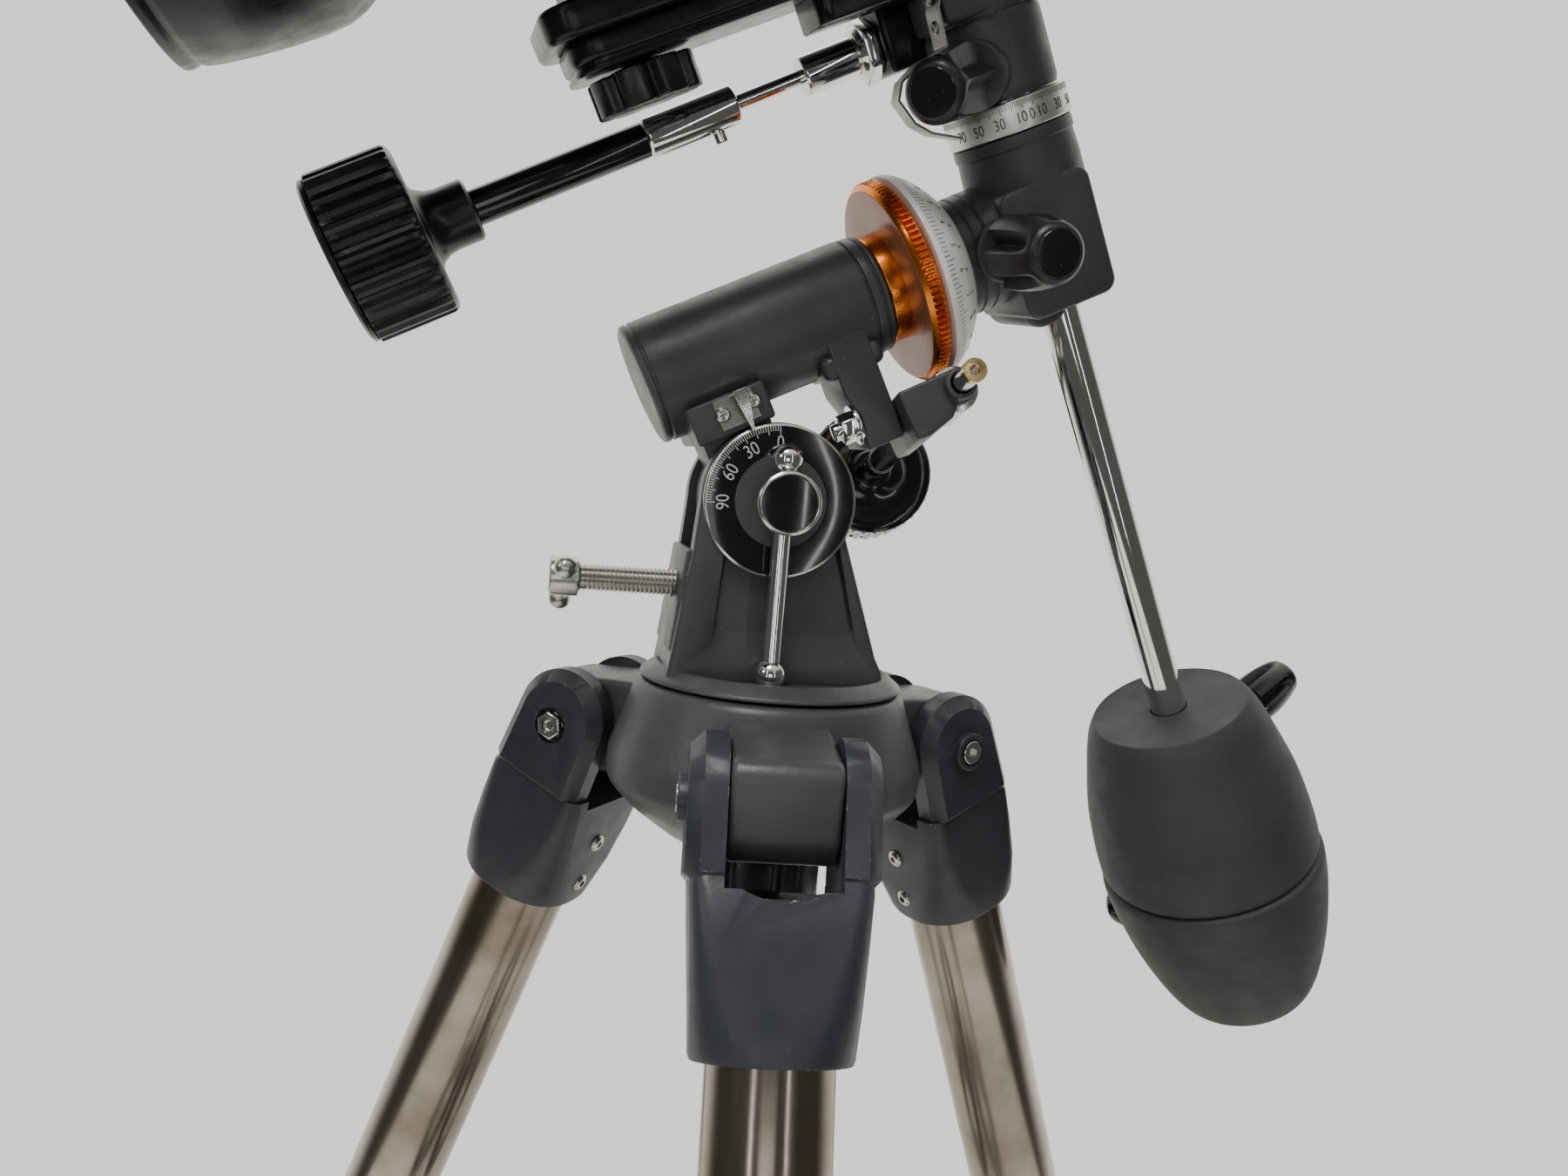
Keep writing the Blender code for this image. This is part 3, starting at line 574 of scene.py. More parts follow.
def moulded(name, colour, rough, grain=1500.0, depth=0.03, coat=0.0, dust=0.6, shine=0.5):
    """Moulded or lacquered black: fine grain, dust and light scuffs."""
    look = Nodes(name, colour, rough)
    scuff = look.spread(look.noise(75, 5, 0.65), 0.5, 0.72, 0, 0.35)
    base = look.mixed(scuff, colour, shade(colour, 2.2))
    specks = look.spread(look.noise(900, 3, 0.7), 0.745, 0.76, 0, dust)
    look.paint(look.mixed(specks, base, (0.25, 0.25, 0.24)))
    look.roughness(look.spread(look.noise(150, 4), 0.3, 0.7, rough * 0.8, rough * 1.35))
    look.bump(look.noise(grain, 4), 0.5, depth)
    look.shader.inputs["Specular IOR Level"].default_value = shine
    look.shader.inputs["Coat Weight"].default_value = coat
    look.shader.inputs["Coat Roughness"].default_value = 0.06
    return look.material


CHARCOAL = (0.056, 0.060, 0.062)
MATERIALS = {
    "mount_paint": cast_paint("charcoal_casting_paint", CHARCOAL, 0.38, chips=0.69),
    "leg_paint": cast_paint("blue_black_leg_paint", (0.030, 0.034, 0.044), 0.40, 700, 0.10, 0.70),
    "steel": plain_metal(
        "polished_leg_steel", (0.38, 0.345, 0.295), 0.18, (700, 700, 6), (0.20, 0.165, 0.12), 0.03, 26,
    ),
    "bright": plain_metal("bright_steel", (0.66, 0.66, 0.65), 0.20, None, (0.5, 0.49, 0.46)),
    "chrome": plain_metal(
        "chrome_plate", (0.82, 0.82, 0.82), 0.07, (300, 300, 25), (0.74, 0.73, 0.71), 0.004,
    ),
    "dull_steel": plain_metal("dull_pressed_steel", (0.40, 0.40, 0.39), 0.34, None, (0.30, 0.30, 0.29)),
    "zinc": plain_metal("zinc_plated_thread", (0.60, 0.60, 0.57), 0.28, None, (0.42, 0.41, 0.37)),
    "brass": plain_metal("brass_bush", (0.75, 0.62, 0.30), 0.22, None, (0.60, 0.46, 0.20)),
    "gloss_black": moulded("gloss_black_plate", (0.006, 0.006, 0.007), 0.12, 900, 0.008, 0.6),
    "saddle_black": moulded("gloss_black_paint", (0.008, 0.008, 0.009), 0.24, 420, 0.05, shine=0.3),
    "black_plastic": moulded("black_knob_plastic", (0.010, 0.010, 0.010), 0.26, 1300, 0.012),
    "worn_plastic": moulded("worn_knob_plastic", (0.014, 0.014, 0.015), 0.36, 1100, 0.05),
    "flex_cable": moulded("black_cable_sleeve", (0.006, 0.006, 0.006), 0.14, 500, 0.02, 0.5),
    "weight_iron": cast_paint(
        "matt_weight_coating", (0.040, 0.041, 0.043), 0.62, 1500, 0.09, 0.76, (0.2, 0.2, 0.2),
    ),
    "silver_satin": plain_metal(
        "satin_silver_dome", (0.97, 0.97, 0.96), 0.36, None, (0.94, 0.94, 0.92), metallic=0.1,
    ),
    "dial_metal": plain_metal(
        "satin_metal_dial", (0.80, 0.80, 0.78), 0.32, None, (0.72, 0.71, 0.69), metallic=0.9,
    ),
    "gear_edge": plain_metal("orange_anodised_edge", (0.88, 0.27, 0.045), 0.24, None, (0.76, 0.20, 0.03)),
    "gear_face": plain_metal(
        "anodised_mirror_face", (0.34, 0.135, 0.075), 0.24, None, (0.28, 0.11, 0.06), 0.002, metallic=0.2,
    ),
    "tube_paint": moulded("gloss_tube_paint", (0.008, 0.009, 0.013), 0.16, 260, 0.05, 0.3),
    "cell_paint": moulded("cell_satin_paint", (0.006, 0.006, 0.007), 0.30, 700, 0.05, shine=0.25),
    "mirror_glass": plain_metal(
        "aluminised_mirror", (0.92, 0.93, 0.94), 0.02, None, (0.90, 0.91, 0.92), 0.0005,
    ),
    "rubber": moulded("rubber_foot", (0.016, 0.016, 0.016), 0.70, 600, 0.15),
    "white_marks": moulded("white_print", (0.72, 0.72, 0.70), 0.45, 900, 0.004, 0.0, 0.0),
    "black_marks": moulded("black_print", (0.012, 0.012, 0.012), 0.45, 900, 0.004, 0.0, 0.0),
    "glass": plain_metal("coated_lens", (0.10, 0.12, 0.20), 0.03, None, (0.12, 0.10, 0.22), 0.0005),
}


def piece(name, mesh, place, body, look, *replaced, angle=32):
    """One visible piece: placed, shaded, riding on its body and standing for CAD nodes."""
    thing = bpy.data.objects.new(name, mesh)
    bpy.context.scene.collection.objects.link(thing)
    thing.matrix_world = place
    mesh.materials.clear()
    mesh.materials.append(MATERIALS[look])
    mesh.shade_smooth()
    mesh.set_sharp_from_angle(angle=math.radians(angle))
    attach(thing, body)
    if replaced:
        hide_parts(*replaced)
    return thing


def pan_screw(radius, height):
    """A pan-head screw with a cross recess, head up from Z = 0."""
    profile = [(0, height), (radius * 0.72, height * 0.92), (radius, height * 0.35), (radius, 0), (0, 0)]
    slot = block((-radius * 0.55, radius * 0.55), (-0.32, 0.32), (height * 0.45, height + 1))
    return cut(lathe(profile, 40, 0.2), slot, moved(slot.copy(), turn(90, "Z")))


# ------------------------------------------------------------------ tripod
HINGE_RADIUS = (Vector(LEGS["front"].translation) - TRIPOD.translation).length / MM


def head_casting():
    profile = [
        (0, 19.9), (39.6, 19.9), (42.4, 11.4), (47, -2), (47, -10), (40.5, -17), (27.8, -26.5), (0, -26.5),
    ]
    body = lathe(profile, 128, 2.6)
    lugs = []
    for side in SIDES:
        outline = [
            (30, -14), *arc(HINGE_RADIUS + 4, -4, 10, -90, 0, 12), *arc(HINGE_RADIUS + 9, 8.6, 5, 0, 90, 8),
            (46, 15.2), (36, 15.2),
        ]
        lug = along_y(slab(outline, -13.9, 13.9, 1.6, 3))
        lugs.append(moved(lug, turn(LEG_AZIMUTHS[side], "Z")))
    return joined(body, *lugs)


def lobed(radius, lobes, depth, low, high, ease=1.2):
    """A knob whose rim has shallow hollows between rounded lobes."""

    def rim(angle, reach, _height):
        hollow = max(0.0, math.cos(lobes * angle)) ** 2
        return reach - (depth * hollow if reach > radius * 0.6 else 0.0)

    profile = [
        (0, high), (radius * 0.55, high), (radius * 0.62, high - 0.8), (radius, high - 0.8), (radius, low),
        (0, low),
    ]
    return lathe(profile, 180, ease, shape_of=rim)


def leg_casting():
    """A forked casting with a tapering, faceted body over the end of the leg tube."""
    sections = []
    for height, x0, x1, half, corner in (
        (-61.0, -19.6, 19.6, 19.6, 17.5), (-59.8, -20.0, 20.0, 20.0, 17.5), (-48, -20.0, 18.9, 20.6, 11.0),
        (-34, -19.4, 17.5, 21.5, 7.0), (-22, -18.6, 16.4, 22.3, 5.0), (-19, -18.0, 15.0, 22.4, 4.6),
    ):
        sections.append((rounded(x0, x1, -half, half, corner, 8), height))
    # The wall dips in front, where the fork's floor meets the bore.
    body = cut(loft(sections), moved(along_x(rod(20.5, 4, 40, 96)), at(z=-4.1)))
    outline = [(-17, -22), *arc(-0.5, 2.0, 15.5, 180, 0, 24), (16, -22)]
    ears = along_y(slab(outline, -23.9, 23.9, 3.6, 1))
    boss = along_y(rod(6.0, 22, 26.4, 48, 0.7))
    shell = joined(body, ears, boss)
    fork = along_y(slab([(-40, -22), (40, -22), (40, 40), (-40, 40)], -14.3, 14.3))
    nut_recess = along_y(rod(5.6, -40, -22.0, 48))
    screw_recess = along_y(rod(4.3, 24.6, 40, 40))
    socket = rod(16.1, -80, -24, 64)
    return eased(cut(shell, fork, nut_recess, screw_recess, socket), 0.45, 2, 38)


def socket_screw():
    head = rod(3.7, 0, 2.6, 48, 0.5)
    return cut(head, hexagon(3.2, 0.8, 6, 0))


def button_screw():
    """A low round head with a deep hex socket."""
    head = lathe([(0, 1.5), (1.9, 1.5), (2.8, 0.9), (3.0, 0), (0, 0)], 40, 0.3)
    return cut(head, hexagon(2.2, 0.2, 3, 0))


def nut_and_end():
    """A hex nut with the end of its bolt set back inside it."""
    dish = lathe([(0, 2.1), (1.3, 2.1), (1.7, 2.5), (2.3, 2.5), (2.5, 2.0), (2.5, 1.6), (0, 1.6)], 40, 0.1)
    return together(cut(hexagon(7.8, 0, 2.9, 0.5), rod(2.55, 1.8, 4, 40)), dish)


def brace_strap():
    """A plastic band with two ears for a brace arm."""
    band = hollow_rod(19, 15.95, -385, -415, 72, 0.6)
    outline = [(-16, -393), *arc(BRACE_X, BRACE_Z, 6.5, 90, 270, 12), (-16, -407)]
    ears = [moved(along_y(slab(outline, -1.75, 1.75, 0.5)), at(y=y)) for y in (-7.25, 7.25)]
    pin = moved(along_y(rod(2.6, -10.4, 10.4, 24, 0.5)), at(x=BRACE_X, z=BRACE_Z))
    return together(joined(band, *ears), pin)


def clamp_collar():
    profile = [
        (18.6, -603), (21.5, -608), (21.5, -656), (19.5, -662), (13.1, -662), (13.1, -640.4),
        (16.1, -640.4), (16.1, -603),
    ]
    outer = lathe(profile, 96, 1.0, ring=True)
    boss = moved(along_x(rod(9.0, -31, -17, 48, 0.8)), at(z=-650))
    core = rod(16.1, -700, -560, 48)
    return joined(outer, cut(boss, core))


def thumb_knob():
    return along_x(lobed(13, 5, 2.6, -47, -32, 1.0))


def foot():
    profile = [(12.9, -708), (14.6, -712), (16, -718), (16, -790), (0, -790), (0, -728), (12.9, -728)]
    body = lathe(profile, 72, 0.9)
    floor_cut = moved(block((-80, 80), (-80, 80), (-80, 0)), at(z=-760) @ turn(SPLAY, "Y"))
    groove = lathe([(18, -722), (15.2, -723), (15.2, -724.4), (18, -725.4)], 72, 0, ring=True)
    grooves = [moved(groove.copy(), at(z=-6 * index)) for index in range(4)]
    return cut(body, floor_cut, *grooves)


def brace_arm():
    reach = 163.0
    bar = slab([(4, -5), (reach - 3, -5), (reach - 3, 5), (4, 5)], -0.9, 0.9, 0.3)
    flanges = [block((6, reach - 6), side, (-0.9, 3.2), 0.3) for side in ((-5, -4.1), (4.1, 5))]
    eyes = [moved(along_y(rod(radius, -5, 5, 32, 0.4)), at(x=x)) for x, radius in ((0, 4.6), (reach, 5.0))]
    return joined(bar, *flanges, *eyes)


def tray():
    """Three pressed lobes with rims, on a hub with channels for the arms."""
    parts = [rod(10, -8, 9.4, 48, 0.8), rod(12, 6, 9.6, 48, 0.6)]
    for side in SIDES:
        spin = turn(LEG_AZIMUTHS[side] + 60, "Z")
        lobe = lathe([(0, 7.6), (36.8, 7.6), (37.6, 9.2), (39.4, 9.2), (40, 8.6), (40, 6), (0, 6)], 96, 0.5)
        hole = rod(16.2, 0, 20, 64)
        small = moved(rod(6.5, 0, 20, 40), at(x=24))
        parts.append(moved(cut(lobe, hole, small), spin @ at(x=55)))
        parts.append(moved(block((5, 22), (-6, 6), (6, 8.8), 0.5), spin))
        for cheek in ((-8.6, -6.3), (6.3, 8.6)):
            parts.append(moved(block((6, 30), cheek, (-5, 7), 0.4), turn(LEG_AZIMUTHS[side], "Z")))
    return joined(*parts)


def build_tripod():
    piece("head_casting", head_casting(), TRIPOD, "tripod_head", "mount_paint", "tripod_head", angle=40)
    knob = together(lobed(20, 6, 3.0, -44.6, -29), rod(9, -29.5, -28, 48, 0.4), rod(5.6, -28.5, 29.5, 40))
    piece("azimuth_lobed_knob", knob, TRIPOD, "azimuth_knob", "black_plastic", "azimuth_knob")
    casting = leg_casting()
    for side in SIDES:
        leg = LEGS[side]
        body = f"leg_{side}"
        piece(f"leg_casting_{side}", casting.copy(), leg, body, "leg_paint", f"leg_socket_{side}", angle=40)
        piece(f"hinge_nut_{side}", moved(nut_and_end(), turn(-90, "X")), leg @ at(y=22.0), body, "bright")
        piece(
            f"hinge_screw_{side}", moved(socket_screw(), turn(90, "X")), leg @ at(y=-24.1), body, "bright",
        )
        piece(f"hinge_pin_{side}", along_y(rod(4.0, -23, 23, 32)), leg, body, "bright")
        screws = [moved(button_screw(), at(x=-19.4, z=-drop) @ turn(-90, "Y")) for drop in (37.5, 53)]
        piece(f"socket_screws_{side}", together(*screws), leg, body, "bright")
        piece(
            f"leg_tube_{side}", hollow_rod(15.875, 14.6, -24, -640, 96, 0.25), leg, body, "steel",
            f"upper_leg_{side}",
        )
        piece(f"brace_strap_{side}", brace_strap(), leg, body, "black_plastic")
        piece(f"clamp_collar_{side}", clamp_collar(), leg, body, "black_plastic", f"leg_clamp_{side}")
        piece(f"clamp_thumb_knob_{side}", thumb_knob(), leg @ at(z=-650), body, "black_plastic")
        lower = hollow_rod(12.7, 11.4, -250, -712, 72, 0.25)
        piece(f"lower_tube_{side}", lower, leg, f"lower_leg_{side}", "steel", f"lower_leg_{side}")
        piece(f"rubber_foot_{side}", foot(), leg, f"lower_leg_{side}", "rubber")
        pivot = leg @ at(x=BRACE_X, z=BRACE_Z) @ turn(SPLAY, "Y") @ turn(180, "Z") @ turn(-20, "Y")
        piece(f"brace_arm_{side}", brace_arm(), pivot, f"spreader_{side}", "bright", f"spreader_arm_{side}")
    hub = TRIPOD.copy()
    hub.translation.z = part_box("accessory_tray")[1].z - 9 * MM
    piece("pressed_tray", tray(), hub, "accessory_tray", "black_plastic", "accessory_tray")


# ------------------------------------------------------------------ mount base
PIVOT_X = (PIVOT - BASE.translation).dot(FORWARD) / MM
PIVOT_Z = (PIVOT - BASE.translation).z / MM


def panel_outline(spread):
    """The arched panel pressed into each cheek, grown outward by a spread."""
    low = -38 - spread * 3.0
    return [
        (-12.8 - spread * 0.5, -8), *arc(-10.5 - spread * 0.5, low + 4.6, 4.6, 185, 270, 8),
        *arc(21.0 + spread * 0.5, low + 4.6, 4.6, 270, 345, 8), (16.4 + spread * 0.5, -8),
    ]


def fork_casting():
    """The flanged foot with two cheeks, an arched panel in each, and the plate of the latitude bolt."""
    flange = [(0, 22.4), (31.0, 22.4), (33.6, 24.8), (34.8, 24.8), (38.9, 21.6), (39.1, 20.6), (0, 20.6)]
    foot_ring = lathe(flange, 128, 0.5)
    outline = [
        (-28.4, -52.8), (35.6, -52.8), (34.9, -48), (32.5, -43.6), (20.7, -9.8),
        *arc(0, 0, 22, -20, 182, 40), (-23.2, -16), (-25.2, -30),
    ]
    fork = along_y(slab(outline, -17.5, 17.5, 1.4, 3))
    slot = block((-26.8, 60), (-10.8, 10.8), (-40, 40))
    floor = panel_outline(0.0)
    mouth = panel_outline(2.6)
    tool = along_y(loft([(mouth, 3.5), (mouth, 2.2), (floor, 0), (floor, -0.1)]))
    recesses = [
        moved(tool.copy(), at(y=side * 15.4) @ Matrix.Diagonal((1, -side, 1, 1))) for side in (-1, 1)
    ]
    bore = along_y(rod(5.4, -30, 30, 48))
    fork = cut(fork, slot, bore, *recesses)
    plate = along_y(slab([(-27.8, -45), (-24.6, -45), (-21.6, -15.6), (-24.6, -15.6)], -17.2, 14, 0.9, 2))
    fork = cut(joined(fork, plate), moved(along_x(rod(4.3, -40, -20, 40)), at(z=-26.6)))
    return joined(foot_ring, moved(fork, at(x=PIVOT_X, z=PIVOT_Z)))


def latitude_marks():
    """White ticks and numbers of the latitude dial, on its front face."""
    shapes = []
    for degree in range(0, 91, 2):
        long = degree % 10 == 0
        inner = 18.6 if long else 19.6
        tick = block((-0.11, 0.11), (inner, 21.0), (19.30, 19.38))
        shapes.append(moved(tick, turn(degree, "Z")))
    for degree in (0, 30, 60, 90):
        digits = moved(numeral(str(degree), 3.9), Matrix.Diagonal((0.82, 1, 1, 1)))
        moved(digits, at(y=16.3, z=19.32))
        shapes.append(moved(digits, turn(degree, "Z")))
    return moved(together(*shapes), turn(4.7, "Z"))


def thread(radius, low, high, pitch):
    """A threaded rod: a profile of close V grooves."""
    count = int((high - low) / pitch)
    points = [(0, high), (radius - 0.6, high)]
    for index in range(count):
        crest = high - (index + 0.5) * pitch
        points.append((radius, crest))
        points.append((radius - 0.62, crest - pitch / 2))
    points += [(radius - 0.6, low), (0, low)]
    return lathe(points, 48)


def build_base():
    piece("fork_casting", fork_casting(), BASE, "mount_base", "mount_paint", "mount_base", angle=40)
    disc = lathe([(13.2, 19.3), (21.0, 19.3), (21.0, 17.8), (13.2, 17.8)], 128, 0.15, ring=True)
    piece("latitude_dial_plate", disc, PIVOT_AXIS, "mount_base", "gloss_black", "latitude_dial")
    rim = lathe([(21.02, 19.2), (21.7, 18.9), (21.7, 17.6), (21.02, 17.6)], 128, 0.12, ring=True)
    piece("latitude_dial_rim", rim, PIVOT_AXIS, "mount_base", "bright")
    boss = lathe([(6.5, 20), (13.1, 20), (13.1, 17.6), (6.5, 17.6)], 96, 0.3, ring=True)
    piece("latitude_dial_boss", boss, PIVOT_AXIS, "mount_base", "mount_paint")
    piece("latitude_dial_marks", latitude_marks(), PIVOT_AXIS, "mount_base", "white_marks")
    piece("pivot_far_nut", hexagon(16, -24, -17.7, 0.8), PIVOT_AXIS, "mount_base", "bright")

    profile = [
        (0, 30.6), (8.9, 30.6), (8.9, 27.6), (6.6, 27.0), (6, 26.4), (6, 20.3), (4.9, 20.3), (4.9, -21),
        (0, -21),
    ]
    neck = lathe(profile, 96, 0.4)
    hole = moved(along_y(rod(2.6, -12, 12, 32)), at(z=24.5))
    cap = lathe([(0, 32.1), (7.7, 32.1), (8.0, 32.5), (8.9, 31.9), (8.9, 30.5), (0, 30.5)], 96, 0.25)
    piece(
        "pivot_lock_neck", joined(cut(neck, hole), cap), PIVOT_AXIS, "latitude_lock", "bright",
        "latitude_lock",
    )
    piece("pivot_lock_face", rod(7.6, 32.0, 32.35, 96, 0.15), PIVOT_AXIS, "latitude_lock", "gloss_black")
    lever = together(rod(2.6, -46.5, 9, 48), ball(4.4, -48.1), ball(4.4, 11.9))
    piece(
        "pivot_lock_lever", lever, PIVOT_LEVEL @ at(y=-24.5), "latitude_lock_bar", "chrome",
        "latitude_lock_bar",
    )

    bolt = placement(pivot_of("latitude_bolt_turn") - FORWARD * 57.5 * MM, UP, FORWARD)
    head = together(rod(5.6, -4.2, 4.2, 64, 0.9), thread(4.0, 4.0, 41.5, 1.25))
    bar = together(rod(1.9, -22, 7, 32), ball(3.3, -23), ball(3.3, 8.5))
    slanted = moved(bar, turn(90, "X"))
    piece(
        "latitude_bolt_thread", together(head, moved(slanted, turn(157, "Z"))), bolt, "latitude_bolt",
        "zinc", "latitude_bolt",
    )


# ------------------------------------------------------------------ polar axis
def barrel_casting():
    profile = [
        (0, -19), (9.4, -19), (9.4, 51.7), (16.6, 51.7), (17.3, 51.2), (17.3, 50.2), (16.6, 49.9),
        (16.6, 49.4), (17.5, 49.1), (17.5, 46.7), (16.7, 46.4), (16.7, 45.9), (17.7, 45.6), (17.7, -18.8),
        (17.2, -19.1), (17.2, -19.7), (17.7, -20), (17.4, -21.4), (16.2, -22), (0, -22),
    ]
    barrel = lathe(profile, 128, 0.22)
    drum = moved(along_y(rod(20, -10.3, 10.3, 96, 0.6)), at(x=-43.8))
    neck = block((-43.8, -13), (-10.1, 10.1), (-13, 8), 1.0)
    pad = block((-21.6, -10.6), (-17.3, 17.4), (-15.0, 8.4), 1.0)
    lug_outline = [(-41, 30.2), (-41, 41.7), (-3, 41.7), (-3, 30), (-9, 29.6), (-24, 29.2), (-31, 31.5)]
    lug = slab([(z, x) for x, z in lug_outline], -8, 15.5, 0.9, 3)
    moved(lug, CYCLED)
    tail = moved(block((-12.5, -5), (-8, 8), (-34, -15), 0.8), RA.inverted() @ PIVOT_LEVEL)
    fillet = block((-19, -12), (-8, 15.3), (26, 45), 2.5)
    solid = joined(barrel, drum, neck, pad, lug, fillet, tail)
    return cut(solid, rod(9.4, -19, 60, 64), moved(along_y(rod(5.4, -30, 30, 48)), at(x=-43.8)))


def worm_arm():
    """The bracket bar that carries the worm under the gear."""
    outline = [(-17.2, -9.6), (-13.5, -9.9), (-5, -7.6), *arc(0, 0, 5.2, -115, 92, 24), (-17.2, 5.0)]
    arm = slab(outline, -14.6, 14.0, 0.9, 3)
    boss = rod(4.6, 12, 17.6, 64, 0.8)
    window = rod(7.3, -11, 11, 64)
    return cut(joined(arm, boss), window, rod(3.4, -30, 30, 40))


def pointer_plate():
    """A thin bracket, screwed on, whose bent tongue points at the latitude dial."""
    plate = slab([(-7.4, -20), (4.3, -20), (4.3, -11.3), (-7.4, -11.3)], 17.5, 18.1, 0.12, 1)
    ledge = block((-1.6, 2.4), (-11.6, -10.8), (17.5, 22.4), 0.12)
    tongue = ribbon([(22.2, -10.9), (22.4, -13), (21.4, -18), (20.4, -22.9)], 0.4, [2.0, 1.9, 1.1, 0.25])
    # The tongue's route is drawn in height off the plate and distance down it.
    moved(tongue, at(x=0.4) @ CYCLED)
    mesh = together(plate, ledge, tongue)
    return moved(mesh, CYCLED)


def fluted_drum(start, end, radius, collar_end, collar, flutes=36):
    """A control knob along -Z from start: fluted rim, dished back, flared collar toward its cable."""
    depth = 0.6

    def rim(angle, reach, height):
        if reach < radius - 0.1 or not end + 2.0 < height < start - 1.8:
            return reach
        return reach - depth + depth * max(-1.0, min(1.0, math.cos(flutes * angle) * 2.2))

    length = start - end
    neck = collar_end - start
    rows = [start - 2.0 - (length - 4.6) * step / 6 for step in range(7)]
    profile = [
        (0, collar_end), (collar - 0.8, collar_end), (collar, collar_end - 0.8),
        (collar, start + neck * 0.45), (collar + 0.5, start + neck * 0.25),
        (collar + 1.9, start + neck * 0.08), (collar + 4.5, start - 0.4), (radius - 9.0, start - 0.4),
        (radius - 4.8, start + 0.3), (radius - 2.6, start + 0.3), (radius - 1.2, start - 0.2),
        (radius - 0.4, start - 1.1), *[(radius, row) for row in rows], (radius - 1.4, end + 2.2),
        (radius - 0.9, end + 1.9), (radius - 0.8, end + 1.0), (radius - 1.8, end + 0.2), (radius - 4, end),
        (0, end),
    ]
    return lathe(profile, flutes * 8, shape_of=rim)


def clamp_knob_head(base=24.5, tip=50.5, ridges=5, sharp=False):
    """A lock screw's head: deep hollows between broad or sharp ridges, under a round flat face."""

    def hollows(angle, reach, height):
        share = (height - base) / (tip - base)
        fade = min(1.0, max(0.0, (0.94 - share) / 0.34))
        deep = 4.4 * fade * fade * (3 - 2 * fade) if reach > 6 and height > base - 0.1 else 0.0
        if sharp:
            wave = abs(math.cos(ridges * angle / 2)) ** 0.8
        else:
            wave = max(0.0, math.cos(ridges * angle)) ** 1.3
        return reach - deep * wave

    heights = [base + 0.8 + (tip - base - 2.2) * step / 14 for step in range(15)]
    outer = []
    for height in reversed(heights):
        share = (height - base) / (tip - base)
        outer.append((10.4 - 2.6 * share**2 + 0.5 * math.sin(math.pi * share), height))
    profile = [
        (0, tip), (6.6, tip), (7.2, tip - 0.4), *outer, (8.4, base), (4.2, base - 0.3), (4.2, 18), (0, 18),
    ]
    return lathe(profile, 200, shape_of=hollows)


def gear_wheel():
    """Straight teeth round the rim, and a plain step behind them."""
    teeth = 100

    def rim(angle, reach, _height):
        if reach < 29.8:
            return reach
        return reach - 0.8 + 0.8 * max(-1.0, min(1.0, math.cos(teeth * angle) * 1.7))

    profile = [
        (9.4, 63.2), (27.2, 63.2), (27.2, 62.1), (30.1, 61.9), (30.1, 58.9), (29.7, 58.5), (29.3, 57.9),
        (28.5, 57.2), (9.4, 57.2),
    ]
    return lathe(profile, teeth * 8, ring=True, shape_of=rim)


DOME = [
    (30.4, 63.5), (30.4, 65), (29.6, 66.8), (28.5, 68.5), (26.9, 70.6), (24.7, 72.6), (22, 74.8),
    (19, 76.5),
]


def dome_at(distance):
    """The point of the dome's outer skin a given distance up it from its edge."""
    for start, end in zip(DOME[1:], DOME[2:]):
        span = math.dist(start, end)
        if distance <= span:
            share = distance / span
            return start[0] + (end[0] - start[0]) * share, start[1] + (end[1] - start[1]) * share
        distance -= span
    return DOME[-1]


def junction_casting():
    body = along_y(slab(rounded(-17.5, 11.8, -23.5, 14, 4.2), -17.7, 17.6, 1.5, 3))
    neck_profile = [
        (0, 30.6), (17.5, 30.6), (17.5, 27.6), (16.9, 27.3), (16.9, 26.8), (17.5, 26.5), (17.5, 23.6),
        (16.9, 23.3), (16.9, 22.8), (17.6, 22.5), (17.6, 10), (0, 10),
    ]
    polar_neck = moved(lathe(neck_profile, 128, 0.2), turn(-90, "Y"))
    collar = [(0, 28), (17.7, 28), (17.7, 24.6), (17.2, 24.2), (17.4, 22), (17.6, 18), (17.6, -4), (0, -4)]
    upper = lathe(collar, 128, 0.3)
    lobe = along_y(slab(rounded(-16.0, -1, -27.6, -14, 6.6), -17.0, 10.0, 1.4, 3))
    lock_boss = moved(rod(8.8, 14, 19.5, 64, 0.8), DEC.inverted() @ RA_LOCK)
    axle = along_x(rod(9, -126, -28, 64))
    solid = joined(body, polar_neck, upper, lobe, lock_boss, axle)
    return cut(solid, rod(8.4, -11, 40, 64), rod(6.3, -50, -13, 64))


